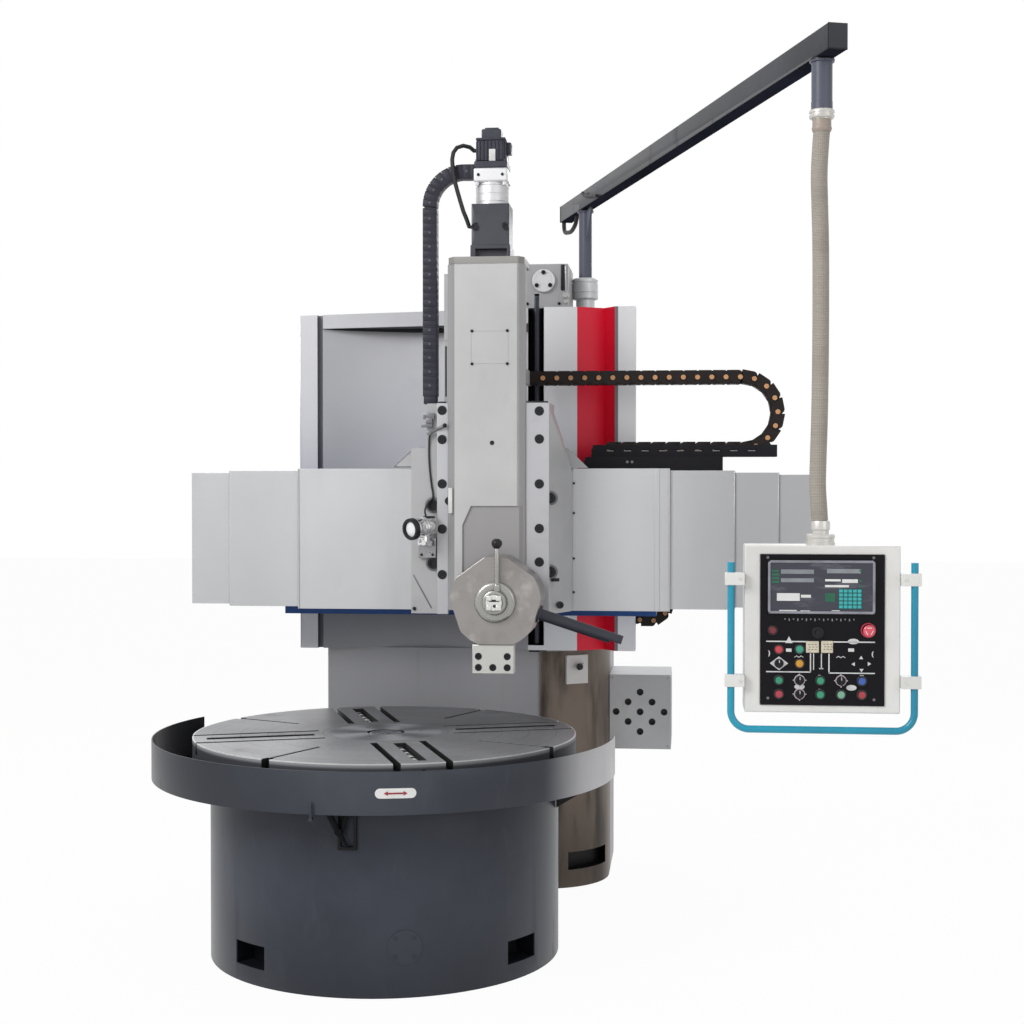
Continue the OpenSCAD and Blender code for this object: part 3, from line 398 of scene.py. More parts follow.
# ram paint: painted shade on the band along the left flank, on the strip at the right edge and on the recessed lower
# face; the top strip and the surfaces more than 5 cm behind the face are darker
ramPaint = paintLook("ramPaint", "cdcdcd", "c1c1c1", rough=0.42, dust=0.1, dustColour="a09d98", shine=0.35,
    zones=lambda look, x, y, z: (
    (look.band(x, ramLeft - 0.001, ramLeft + 0.029) * (1 - look.step(y, ramFace + 0.032, ramFace + 0.036)), "8f8f91",
    0.85),
    (look.step(x, ramRight - 0.030, ramRight - 0.028), "999999", 0.75),
    (look.band(y, ramFace + 0.005, ramFace + 0.02) * (1 - look.step(z, 1.621, 1.623)), "979596", 0.9),
    (look.step(z, ramBox[1].z - 0.026, ramBox[1].z - 0.024), "85847f", 0.75),
    (look.step(y, ramFace + 0.04, ramFace + 0.05), "8a8a8c", 0.6)))
# boom paint: a dark band just under the boom, and the post and drop pipe below it painted lighter as a painted sheen
boomPaint = paintLook("boomPaint", "3c3d45", "2c2d33", rough=0.34, dustColour="4e4f55", shine=0.22,
    zones=lambda look, x, y, z: (
    (look.band(z, boomBox[1].z - 0.075, boomBox[1].z - 0.066), "14141b", 0.8),
    (1 - look.step(z, boomBox[1].z - 0.078, boomBox[1].z - 0.074), "666978", 0.7)))
railBlue = paintLook("railBlue", "30589a", "274982", rough=0.38, dust=0.2, dustColour="34363a", shine=0.2)
bracketPaint = paintLook("bracketPaint", "4b4b54", "3c3c45", rough=0.34, dustColour="6a6a72", shine=0.4)
bracketBlack = paintLook("bracketBlack", "1e1e24", "151519", rough=0.42, dustColour="34343a", shine=0.15)
creamPaint = paintLook("creamPaint", "e6e5e2", "dad9d6", rough=0.34, dust=0.06, coat=0.1)
motorPaint = paintLook("motorPaint", "5d6167", "50545a", rough=0.4)
steel = metalLook("steel", "c9c9c7", "a3a3a2", rough=0.3)
gibMid = (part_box("saddle_gibs")[0].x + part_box("saddle_gibs")[1].x) / 2
# the two strips are toned darker by position, the right one more: painted shade
gibSteel = metalLook("gibSteel", "d2d2d5", "b6b6ba", rough=0.5, along=(500, 500, 25), stain=0.16, metal=0.3,
    zones=lambda look, x, y, z: (
    (1 - look.step(x, gibMid - 0.01, gibMid + 0.01), "a9a9ae", 0.3),
    (look.step(x, gibMid - 0.01, gibMid + 0.01), "a2a2a6", 0.35)))
turretSteel = metalLook("turretSteel", "a9a5a2", "8c8886", rough=0.36, along=(60, 700, 240), stain=0.25,
    stainColour="6d655c", metal=0.75, zones=lambda look, x, y, z: (
    (look.step(look.noise(7, 6), 0.46, 0.7), "7a7570", 0.45),
    (look.step(look.noise(11, 5, look.stretched((1, 1, 1), (0, 0, 0), (3, 5, 7))), 0.55, 0.75), "cfccc8", 0.4)))
darkSteel = metalLook("darkSteel", "4a4c55", "303138", rough=0.35, stain=0.1, metal=0.7)
rimSteel = metalLook("rimSteel", "8a8a8d", "6b6b6e", rough=0.4, along=(300, 300, 300), stain=0.2, metal=0.5)
boltSteel = metalLook("boltSteel", "2e2f34", "1c1d21", rough=0.36, along=(300, 300, 300), stain=0.2, metal=0.6)
brightSteel = metalLook("brightSteel", "dedede", "bdbdbd", rough=0.2, along=(400, 400, 400), stain=0.04)
chrome = metalLook("chrome", "eeeeee", "d8d8d8", rough=0.1, along=(90, 90, 90), streak=0.1, stain=0.02)
aluminium = metalLook("aluminium", "e8e8ea", "d2d2d5", rough=0.42, along=(300, 300, 40), stain=0.03, metal=0.5)
# covers: painted shade towards the right end and slightly at the left end; the long streaks are random tone
sheetSteel = metalLook("sheetSteel", "cfd0d2", "c0c1c3", rough=0.42, along=(6, 200, 260), streak=0.2, stain=0.03,
    metal=0.3, zones=lambda look, x, y, z: (
    (look.step(x, 0.85, 1.35), "8f9093", 0.5),
    (1 - look.step(x, -0.62, -0.35), "9a9b9e", 0.25),
    (look.step(look.noise(1.0, 5, look.stretched((3, 3, 0.6))), 0.5, 0.78), "9fa0a3", 0.35)))
blackPlastic = plasticLook("blackPlastic", "1c1c21", 0.42, shine=0.3)
servoBlack = plasticLook("servoBlack", "383a46", 0.42, shine=0.4)
chainPlastic = plasticLook("chainPlastic", "1f1513", 0.42, 0.12, 0.6, shine=0.25)
linkOrange = plasticLook("linkOrange", "d9a273", 0.45, 0.1, 0.75, shine=0.3)
linkDark = plasticLook("linkDark", "120d0c", 0.5, 0.1, 0.7, shine=0.2)
rubber = plasticLook("rubber", "18181b", 0.55, 0.2)
whitePlastic = plasticLook("whitePlastic", "e9e9e6", 0.4)
panelBlack = plasticLook("panelBlack", "100e14", 0.34, 0.04, shine=0.15)
redPlastic = plasticLook("redPlastic", "c94457", 0.25, 0.03)
pinkPlastic = plasticLook("pinkPlastic", "e8596a", 0.25, 0.03)
greenPlastic = plasticLook("greenPlastic", "36a27c", 0.25, 0.03)
bluePlastic = plasticLook("bluePlastic", "3f62b4", 0.25, 0.03)
paleGreen = plasticLook("paleGreen", "7fb89a", 0.3, 0.03)
greyPlastic = plasticLook("greyPlastic", "9a9b9e", 0.35, 0.05)
markWhite = plasticLook("markWhite", "e6e6e4", 0.5, 0.05, 0.9)
markRed = plasticLook("markRed", "c8202c", 0.4, 0.05, 0.85)


def columnLook(p):
    # one casting: ground ways, painted recess, red vee groove, bare round corner, with painted shade and shadow on
    # the paint and ways and inside the slot and pocket
    look = Look("columnCasting", Specular_IOR_Level=0.3)
    x, y, z = look.axes()
    lipLeft, lipRight, lipTop = p["lip"]
    grooveLeft, grooveMid, grooveRight = p["groove"]
    face, foot = p["front"], p["waysLow"]
    cloud = look.noise(1.6, 5)
    grain = look.noise(380, 2)
    scratch = look.noise(1.0, 4, look.stretched((500, 500, 14)), 0.6)
    cross = look.noise(1.0, 3, look.stretched((30, 500, 420)), 0.6)
    paint = look.mix(look.step(cloud, 0.3, 0.7), p["paintDark"], p["paint"])
    front = look.band(y, face - 0.01, face + 0.001, 0.0004)
    high = look.step(z, foot - 0.002, foot + 0.002)
    ways = front * high * (1 - look.band(x, grooveLeft, grooveRight, 0.001)) * (1 - look.band(x, lipLeft, lipRight,
        0.001))
    ground = look.mix(scratch * 0.7 + cross * 0.3, p["wayDark"], p["way"])
    # ways left of the middle are toned towards a painted shade, those on the right towards a painted highlight
    ground = look.mix(look.step(x, 0.0, 0.4), look.mix(0.28, ground, p["wayShaded"]),
        look.mix(0.75, ground, p["wayLit"]))
    groove = look.band(x, grooveLeft, grooveRight, 0.0006) * look.band(y, face - 0.01, face + 0.075) * high
    # the vee's right face gets its own red: painted shade
    redNow = look.mix(look.step(x, grooveMid - 0.004, grooveMid + 0.004), p["red"], p["redShade"])
    redNow = look.mix(look.step(look.noise(3.5, 5), 0.5, 0.75) * 0.35, redNow, p["redDark"])
    slot = look.band(x, p["slot"][0] - 0.003, p["slot"][1] + 0.001) * look.step(y, face + 0.002,
        face + 0.012) * look.band(y, face, face + 0.2) * high
    bare = look.step(x, p["bareLeft"] - 0.012, p["bareLeft"] + 0.012) * (1 - high) * look.band(y, face, p["bareBack"],
        0.02)
    oil = look.step(look.noise(1.0, 6, look.stretched((9, 9, 1.6))), 0.42, 0.7)
    rust = look.mix(oil, p["bareLight"], p["bareDark"])
    rust = look.mix(look.step(z, 0.05, 0.5), look.mix(0.5, rust, p["bareDark"]), rust)
    runs = look.step(look.noise(1.0, 5, look.stretched((22, 22, 1.1))), 0.56, 0.75) * (1 - high) * 0.14
    # painted shade: darker below about 1.2 m, fully below 0.72 m
    paint = look.mix((1 - look.step(z, 0.72, 1.2)) * 0.62, paint, p["shade"])
    # painted shadow of the crossrail: a dark band all round the column between about 0.9 and 1.5 m high
    paint = look.mix(look.step(z, foot - 0.1, foot + 0.2) * (1 - look.step(z, foot + 0.26, foot + 0.5)) * 0.6, paint,
        p["deep"])
    across = (x - lipLeft) / (lipRight - lipLeft)
    recess = look.band(x, lipLeft, lipRight, 0.0006) * look.band(y, face + 0.001, face + 0.12, 0.0006) * high
    # painted shade in the recess, on its left half
    paint = look.mix(recess * (1 - look.step(across, 0.0, 0.5)) * 0.25, paint, p["hollow"])
    # painted shadow on the recess wall just below its top lip
    under = lipTop - 0.003 - across * 0.020
    paint = look.mix(recess * look.step(z, under - 0.020 - across * 0.030, under + 0.004) * 0.8, paint, p["hollow"])
    # the dark wedge under the lip, partly on the lip's face: painted shadow
    wedge = look.step(z, under - 0.002, under + 0.001) * (1 - look.step(z, lipTop + across * 0.014 - 0.001,
        lipTop + across * 0.014 + 0.001))
    wedge = wedge * look.band(x, lipLeft, lipRight, 0.0006) * look.band(y, face - 0.01, face + 0.12)
    paint = look.mix(wedge, paint, p["wedge"])
    # painted shade in the groove beside the left strip
    paint = look.mix(look.band(x, lipLeft - 0.0245, lipLeft, 0.0005) * look.step(y, face + 0.001,
        face + 0.003) * high * 0.8, paint, p["joint"])
    colour = look.mix(runs, paint, p["runs"])
    colour = look.mix(ways, colour, ground)
    colour = look.mix(groove, colour, redNow)
    colour = look.mix(look.band(x, grooveRight, grooveRight + 0.013, 0.0012) * front * high * 0.8, colour,
        p["grooveEdge"])
    # painted black shade inside the slot
    colour = look.mix(slot, colour, black)
    colour = look.mix(bare, colour, rust)
    # painted black shade inside the round corner's pocket
    awayX, awayY = x - p["corner"][0], y - p["corner"][1]
    pocket = (1 - look.step(awayX * awayX + awayY * awayY, (p["corner"][2] - 0.005) ** 2,
        (p["corner"][2] - 0.003) ** 2)) * look.band(z, p["pocket"][0], p["pocket"][1], 0.002)
    colour = look.mix(pocket, colour, black)
    metal = ways * 0.2 + bare * 0.3
    rough = 0.42 + (cloud - 0.5) * 0.12 + bare * 0.05 - groove * 0.12 + (scratch - 0.5) * ways * 0.2
    return look.finish(colour, rough, (grain + (scratch + cross) * ways * 2 + oil * bare, 0.12, 0.0006), metal)


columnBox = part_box("column")
# The colours for the lower paint, the band round the column, the recess, the wedge and the groove are painted shade
# and shadow; the two extra way colours are a painted shade and a painted highlight; the vee's second red is its face
# in painted shade.
columnFinish = {"front": 0.8, "waysLow": 1.0, "groove": (0.653, 0.76, 0.808), "slot": (0.45, 0.516), "bareLeft": 0.49,
    "bareBack": 1.3,
    "paint": "cfcfd3", "paintDark": "c3c3c7", "shade": "77777b", "way": "e4e4e8", "wayDark": "c6c6ca",
    "wayShaded": "98989c", "wayLit": "fbfbfd", "deep": "3c3c41", "hollow": "8d8e8e", "wedge": "1e1e23",
    "joint": "6c6c72", "lip": (columnBox[0].x + 0.098, columnBox[1].x - 0.442, columnBox[1].z - 0.08),
    "red": "f72542", "redShade": "fb1f3f", "redDark": "b3162f", "grooveEdge": "2c2e38",
    "corner": (columnBox[1].x - 0.414, 1.19, 0.29), "pocket": (0.045, 0.18), "bareLight": "776b61",
    "bareDark": "362e28", "runs": "8d8883"}
columnCasting = columnLook(columnFinish)


def tableLook(p):
    # faced on its own spindle: rings, and a painted sheen that fans out from the middle, lighter in front and darker
    # behind
    look = Look("turnedTable")
    x, y, z = look.axes()
    far = look.far()
    rings = look.noise(1.0, 4, look.node("ShaderNodeCombineXYZ", None, {0: far * 260}), 0.65)
    cloud = look.noise(2.6, 5)
    angle = look.heading(x, y)
    fan = look.sine(angle + p["fanStart"]) * 0.5 + 0.5
    # painted sheen in five sectors round the table, also on the inner disc
    wedge = look.sine(angle * 5 + cloud * 2.4) * 0.5 + 0.5
    base = look.mix(look.step(fan * 0.72 + wedge * 0.28, 0.1, 0.9), p["dark"], p["light"])
    base = look.mix(rings * 0.3 + look.step(cloud, 0.4, 0.7) * 0.15, base, p["bright"])
    base = look.mix(look.step(look.noise(75, 4), 0.5, 0.75) * 0.25, base, p["grain"])
    inner = 1 - look.step(far, p["innerRing"] - 0.004, p["innerRing"] + 0.004)
    base = look.mix(inner * 0.6, base, look.mix(wedge, p["inner"], p["innerSheen"]))
    for ring in p["rings"]:
        base = look.mix(look.band(far, ring, ring + 0.0022, 0.0006) * 0.55, base, p["line"])
    stain = look.step(look.noise(4.2, 6), 0.56, 0.74)
    base = look.mix(stain * 0.25, base, p["stain"])
    # painted black shade inside the slots; the rim's side is painted lighter towards its top as painted light, and a
    # painted highlight runs round the rim's top edge
    deep = 1 - look.step(z, p["top"] - 0.0025, p["top"] - 0.0006)
    rim = look.step(far, p["radius"] - 0.003, p["radius"] - 0.001)
    edge = look.step(far, p["radius"] - 0.0045, p["radius"] - 0.0035) * look.step(z, p["top"] - 0.004,
        p["top"] - 0.003)
    side = look.mix(look.step(z, p["top"] - 0.02, p["top"] - 0.005), p["rim"], p["rimLitBand"])
    base = look.mix(deep * (1 - rim), base, black)
    base = look.mix(deep * rim, base, side)
    base = look.mix(edge, base, p["edge"])
    rough = 0.33 + rings * 0.12 + stain * 0.12 + deep * 0.2
    return look.finish(base, rough, (rings, 0.12, 0.0004), 0.72 - deep * 0.72)


# light and dark are the ends of the painted sheen; the inner disc's light colour, the rim's light band and the edge
# colour are painted highlights
tableFinish = {"top": 0.79, "radius": 0.7, "innerRing": 0.205, "rings": (0.2285, 0.3285, 0.428, 0.528, 0.628),
    "fanStart": 2.85,
    "light": "a9a9ab", "dark": "6f6f72", "bright": "f2f2f3", "grain": "5a5a5d", "inner": "77777a",
    "innerSheen": "e4e4e6", "line": "3b3b3c", "stain": "5b554e",
    "rim": "3c3e44", "rimLitBand": "a2a3a7", "edge": "fafafa"}
turnedTable = tableLook(tableFinish)


def hoseLook(p):
    # braid that winds round the hose, from the height and the angle
    look = Look("braidedHose")
    x, y, z = look.axes()
    wide = look.heading(x - p["x"], y - p["y"]) * p["strands"]
    left = look.sine(wide + z * p["lay"])
    right = look.sine(wide - z * p["lay"])
    weave = left * right
    rib = look.sine(z * p["ribs"])
    cloud = look.noise(9, 4)
    colour = look.mix(look.step(weave * 0.5 + rib * 0.5, -0.6, 0.6), p["dark"], p["light"])
    colour = look.mix(look.step(cloud, 0.45, 0.75) * 0.35, colour, p["soil"])
    return look.finish(colour, 0.6 + cloud * 0.1, (weave * 0.4 + rib, 0.5, 0.002))


hoseFinish = {"x": 1.46, "y": -1.33, "strands": 14, "lay": 620, "ribs": 1500, "light": "b9b2a8", "dark": "989187",
    "soil": "8a8378"}
braidedHose = hoseLook(hoseFinish)
print("finishes made")

dress(basePaint, "base")
dress(guardPaint, "splash_guard")
dress(turnedTable, "table")
dress(columnCasting, "column")
dress(steel, "spindle", "ring_gear", "drive_pinion", "feed_screw", "boom_collar")
dress(darkSteel, "lift_screw")
# jaw screws: black stripes along them, painted as the shade between the thread's turns
dress(metalLook("threadSteel", "e6e6e6", "cfcfcf", rough=0.35, along=(300, 300, 300), stain=0.1, metal=0.4,
    zones=lambda look, x, y, z: (
    (look.step(look.sine(look.far() * 330), -0.25, 0.15), "0d0d10", 1.0),)),
      "jaw_screw_1", "jaw_screw_2", "jaw_screw_3", "jaw_screw_4")
dress(motorPaint, "main_motor")
dress(greyPaint, "electric_box", "lift_gearbox")
dress(saddlePaint, "saddle")
dress(creamPaint, "lock_plate", "pendant_box")
dress(railBlue, "crossrail")
dress(bracketBlack, "chain_tray")
dress(bracketPaint, "motor_bracket")
dress(chainPlastic, "chain_run", "chain_top", "chain_bend", "lift_chain")
dress(sheetSteel, "inner_covers", "end_covers", "left_cover", "right_cover_1", "right_cover_2")
dress(gibSteel, "saddle_gibs")
dress(ramPaint, "ram")
dress(aluminium, "reducer")
dress(blackPlastic, "servo_motor", "ram_carrier")
dress(rubber, "ram_hose")
dress(turretSteel, "turret")
dress(brightSteel, "turret_lever", "tool_plate")
dress(darkSteel, "boring_bar")
dress(chrome, "lamp_head", "lamp_mount")
dress(boomPaint, "boom")
dress(braidedHose, "pendant_hose")
dress(panelBlack, "pendant_panel")
dress(bluePlastic, "pendant_handle")
dress(greenPlastic, "button_start", "button_up", "button_down")
dress(redPlastic, "button_stop", "button_reset")
dress(pinkPlastic, "emergency_stop")
dress(bluePlastic, "button_oil")
dress(paleGreen, "button_jog")
dress(greyPlastic, "selector_mode", "selector_feed", "selector_speed", "selector_axis")
print("CAD nodes dressed")


# tools for this machine's pieces

def fresh(bm, before):
    return [v for v in bm.verts if v not in before]


def lathe(bm, at, axis, profile, steps=48):
    # a line of (distance, radius) turned round an axis
    before = set(bm.verts)
    at, axis = Vector(at), Vector(axis).normalized()
    side = axis.orthogonal().normalized()
    dots = [bm.verts.new(at + axis * d + side * r) for d, r in profile]
    lines = [bm.edges.new(pair) for pair in zip(dots, dots[1:])]
    bmesh.ops.spin(bm, geom=dots + lines, cent=at, axis=axis, angle=2 * pi, steps=steps, use_merge=True)
    bmesh.ops.remove_doubles(bm, verts=fresh(bm, before), dist=0.00001)
    made = fresh(bm, before)
    bmesh.ops.recalc_face_normals(bm, faces=list({f for v in made for f in v.link_faces}))
    return made


def tint(made, index):
    # gives the faces of these vertices another finish of the piece
    for face in {f for v in made if v.is_valid for f in v.link_faces}:
        face.material_index = index


def wrapRound(bm, made, radius, angle):
    # lays a flat shape (x across, y outwards, z up) on an upright cylinder round Z
    for v in made:
        turn = radians(angle) + v.co.x / radius
        reach = radius + v.co.y
        v.co = Vector((reach * cos(turn), reach * sin(turn), v.co.z))


def manyLooks(obj, *looks):
    for look in looks:
        obj.data.materials.append(look)
    return obj


def middle(box):
    return [(low + high) / 2 for low, high in zip(*box)]

def around(count, r, start=0):
    # evenly spaced points on a circle, as pairs
    for k in range(count):
        turn = radians(start + 360 / count * k)
        yield r * cos(turn), r * sin(turn)

def swung(bm, made, degrees, at):
    # turned about Y, then moved
    bmesh.ops.rotate(bm, verts=made, cent=(0, 0, 0), matrix=Matrix.Rotation(radians(degrees), 3, "Y"))
    bmesh.ops.translate(bm, verts=made, vec=at)

def laid(bm, made, at, along, across, up):
    # turned onto three directions, then moved
    bmesh.ops.transform(bm, matrix=Matrix((along, across, up)).transposed().to_4x4(), verts=made)
    bmesh.ops.translate(bm, vec=at, verts=made)

def bendPlaces(centre, r, start, sweep, count):
    # places round a bend in X and Z, each with its way along and its way out
    side = 1 if sweep > 0 else -1
    for k in range(count):
        turn = radians(start + sweep / count * (k + 0.5))
        out = Vector((cos(turn), 0, sin(turn)))
        yield centre + Vector((r * cos(turn), 0, r * sin(turn))), Vector((-side * out.z, 0, side * out.x)), out

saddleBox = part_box("saddle")
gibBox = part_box("saddle_gibs")
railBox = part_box("crossrail")
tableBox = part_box("table")
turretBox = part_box("turret")
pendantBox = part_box("pendant_box")
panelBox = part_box("pendant_panel")
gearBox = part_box("lift_gearbox")
saddleLeft, saddleRight = gibBox[0].x - 0.102, gibBox[1].x + 0.071

# base and guard

coverPlate = {"angle": -74, "z": 0.169, "r": 0.058, "thick": 0.0022, "screwR": 0.006, "screwsAt": 0.045}
bm = bmesh.new()
bmesh.ops.create_circle(bm, cap_ends=True, segments=48, radius=coverPlate["r"], matrix=Matrix.Rotation(radians(90), 4,
    "X"))
bmesh.ops.subdivide_edges(bm, edges=bm.edges[:], cuts=1)
bmesh.ops.inset_region(bm, faces=bm.faces[:], thickness=0.006, depth=0)
bmesh.ops.triangulate(bm, faces=bm.faces[:])
got = bmesh.ops.extrude_face_region(bm, geom=bm.faces[:])["geom"]
bmesh.ops.translate(bm, vec=(0, coverPlate["thick"], 0), verts=[g for g in got if isinstance(g, bmesh.types.BMVert)])
wrapRound(bm, bm.verts[:], baseR + 0.0002, coverPlate["angle"])
bmesh.ops.translate(bm, vec=(0, 0, coverPlate["z"]), verts=bm.verts)
bmesh.ops.recalc_face_normals(bm, faces=bm.faces[:])
for x, z in around(4, coverPlate["screwsAt"], 45):
    turn = radians(coverPlate["angle"]) + x / baseR
    out = Vector((cos(turn), sin(turn), 0))
    screwHead(bm, out * (baseR + 0.002) + Vector((0, 0, coverPlate["z"] + z)), out, coverPlate["screwR"], 0.002)
piece("baseCover", bm, "machine_frame", basePaint)

# lever and hook that lock the guard to the bracket below it
latch = {"angle": -91, "leverR": 0.0125, "pinR": 0.013}
out = Vector((cos(radians(latch["angle"])), sin(radians(latch["angle"])), 0))
across = Vector((-out.y, out.x, 0))
bracketFoot = Vector((0, 0, guardBox[0].z))


def byLatch(side, reach, z):
    # a point beside the latch: across the front, outwards from the base, above the bracket's foot
    return across * side + out * (baseR + reach) + bracketFoot + Vector((0, 0, z))


bm = bmesh.new()
rod(bm, byLatch(-0.060, 0.060, 0.150), byLatch(-0.022, 0.036, 0.060), latch["leverR"], 14, latch["leverR"] * 0.8,
    edge=0.002)
rod(bm, byLatch(-0.024, 0.037, 0.066), byLatch(0.006, 0.024, 0.010), latch["leverR"] * 0.8, 14, latch["leverR"] * 0.4,
    edge=0.001)
rod(bm, byLatch(0.012, 0.040, 0.150), byLatch(-0.016, 0.030, 0.070), latch["leverR"] * 0.7, 14, edge=0.002)
rod(bm, byLatch(-0.022, 0.010, 0.068), byLatch(-0.022, 0.050, 0.068), latch["pinR"], 20, edge=0.002)
piece("guardLatch", bm, "machine_frame", plasticLook("latchBlack", "121318", 0.5, shine=0.1))
bm = bmesh.new()
hook = out * (guardR + 0.007) + across * -0.072
rod(bm, hook + Vector((0, 0, guardBox[0].z + 0.135)), hook + Vector((0, 0, guardBox[0].z + 0.195)), 0.0035, 12,
    edge=0.001)
rod(bm, hook - out * 0.009 + Vector((0, 0, guardBox[0].z + 0.142)),
    hook + out * 0.006 + Vector((0, 0, guardBox[0].z + 0.142)), 0.007, 16, edge=0.001)
piece("guardHook", bm, "machine_frame", darkSteel)

# pill with a two-headed arrow for the table's turn
arrowMark = {"angle": -77.5, "z": 0.721, "long": 0.132, "high": 0.032, "thick": 0.0008}
for name, look, lift, shape in (("turnPill", markWhite, 0.0, "pill"), ("turnRing", markRed, 0.0006, "ring"),
        ("turnArrow", plasticLook("arrowRed", "a3353a", 0.45, 0.05, 0.7), 0.0010, "arrow")):
    bm = bmesh.new()
    half, r = arrowMark["long"] / 2, arrowMark["high"] / 2
    if shape == "arrow":
        slab(bm, (-0.028, 0, -0.0026), (0.028, arrowMark["thick"], 0.0026))
        for side in (-1, 1):
            outline(bm, [(side * 0.038, 0, 0), (side * 0.025, 0, 0.0072), (side * 0.025, 0, -0.0072)],
                (0, arrowMark["thick"], 0))
    else:
        grow = 0 if shape == "pill" else -0.0022
        rim = []
        for side in (1, -1):
            for k in range(13):
                turn = radians(-90 + 15 * k)
                rim.append((side * (half - r + (r + grow) * cos(turn)), 0, side * (r + grow) * sin(turn)))
        outline(bm, rim, (0, arrowMark["thick"] * (1 if shape == "pill" else 0.2), 0))
        if shape == "ring":
            caps = [f for f in bm.faces if abs(f.normal.y) > 0.9]
            bmesh.ops.inset_region(bm, faces=caps, thickness=0.0016)
            bmesh.ops.delete(bm, geom=[f for f in bm.faces if len(f.verts) > 20], context="FACES")
        bmesh.ops.triangulate(bm, faces=bm.faces[:])
    bmesh.ops.bisect_plane(bm, geom=bm.verts[:] + bm.edges[:] + bm.faces[:], plane_co=(0, 0, 0), plane_no=(1, 0, 0))
    for x in (-0.03, 0.03, -0.045, 0.045, -0.015, 0.015):
        bmesh.ops.bisect_plane(bm, geom=bm.verts[:] + bm.edges[:] + bm.faces[:], plane_co=(x, 0, 0),
            plane_no=(1, 0, 0))
    bmesh.ops.translate(bm, vec=(0, lift, arrowMark["z"]), verts=bm.verts)
    wrapRound(bm, bm.verts[:], guardR + 0.0003, arrowMark["angle"])
    bmesh.ops.recalc_face_normals(bm, faces=bm.faces[:])
    piece(name, bm, "machine_frame", look)
refined("base", 0.003, basePaint)
refined("splash_guard", 0.0012, guardPaint)
print("base and guard trimmed")

# table

refined("table", 0.0007, turnedTable, steps=1)
hubPlugs = {"r": 0.128, "count": 6, "size": 0.009}
bm = bmesh.new()
for x, y in around(hubPlugs["count"], hubPlugs["r"], 12):
    screwHead(bm, (x, y, tableBox[1].z - 0.001), (0, 0, 1), hubPlugs["size"], 0.0022)
piece("hubPlugs", bm, "table", rimSteel)
# turned cap in the middle of the table
tableCap = {"r": 0.0595, "sunk": 0.0035}
bm = bmesh.new()
capAt = (0, 0, tableBox[1].z - tableCap["sunk"])
lathe(bm, capAt, (0, 0, 1), [(-0.012, 0), (-0.012, tableCap["r"]), (0, tableCap["r"]),
    (0.0015, tableCap["r"] - 0.002), (0.0015, 0.05), (-0.002, 0.044), (-0.002, 0.016), (0.0005, 0.012), (0.0005, 0)],
    72)
piece("tableCap", bm, "table", metalLook("capSteel", "d0d0d1", "9d9d9f", rough=0.25, along=(300, 300, 300),
    stain=0.15, metal=0.8))

# column

cx, cz, cy = columnBox[0].x, columnBox[1].z, columnBox[0].y
# rib along the edge of the way
wayEdge = {"thick": 0.0025}
bm = bmesh.new()
slab(bm, (cx, cy - wayEdge["thick"], 1.02), (cx + 0.0022, cy + 0.0005, cz - 0.028), 0.0006)
piece("wayEdges", bm, "machine_frame", brightSteel)

# nine dark holes of the cabinet, its lid and screws
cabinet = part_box("electric_box")
bm = bmesh.new()
mid = Vector(((cabinet[0].x + cabinet[1].x) / 2, cabinet[0].y, (cabinet[0].z + cabinet[1].z) / 2))
for i in (-1, 0, 1):
    for j in (-1, 0, 1):
        at = mid + Vector(((i + j) * 0.052, 0, (i - j) * 0.043))
        lathe(bm, at, (0, -1, 0), [(-0.018, 0), (-0.018, 0.0149), (0.0003, 0.0149), (0.0003, 0.0113),
            (-0.0175, 0.0110), (-0.0175, 0)], 24)
piece("cabinetHoles", bm, "machine_frame", plasticLook("holeDark", "0c0c0f", 0.5))
bm = bmesh.new()
for x in (cabinet[0].x + 0.014, cabinet[1].x - 0.014):
    for z in (cabinet[0].z + 0.014, cabinet[1].z - 0.014):
        screwHead(bm, (x, cabinet[0].y, z), (0, -1, 0), 0.005, 0.002)
slab(bm, (cabinet[0].x + 0.002, cabinet[0].y - 0.0016, cabinet[0].z + 0.003), (cabinet[0].x + 0.0035, cabinet[0].y,
    cabinet[1].z - 0.003))
slab(bm, (cabinet[1].x - 0.0005, cabinet[0].y + 0.02, cabinet[0].z + 0.02),
    (cabinet[1].x + 0.0012, cabinet[1].y - 0.02, cabinet[1].z - 0.02), 0.0005)
piece("cabinetTrim", bm, "machine_frame", greyPaint)
refined("electric_box", 0.0025, paintLook("cabinetGrey", "d0d1d2", "c3c4c6", rough=0.4), steps=3)

# lock plate with its keyed knob
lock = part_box("lock_plate")
bm = bmesh.new()
out = Vector((sin(radians(34)), -cos(radians(34)), 0))
knob = Vector(((lock[0].x + lock[1].x) / 2, lock[0].y, lock[0].z + 0.074)) + Vector((0.012, 0.012, 0))
lathe(bm, knob, out, [(0, 0), (0, 0.013), (0.012, 0.013), (0.014, 0.011), (0.014, 0)], 28)
slab(bm, (-0.004, -0.014, -0.014), (0.004, -0.002, 0.014), 0.0015, at=knob)
piece("lockKnob", bm, "machine_frame", blackPlastic)
refined("lock_plate", 0.0012, creamPaint)

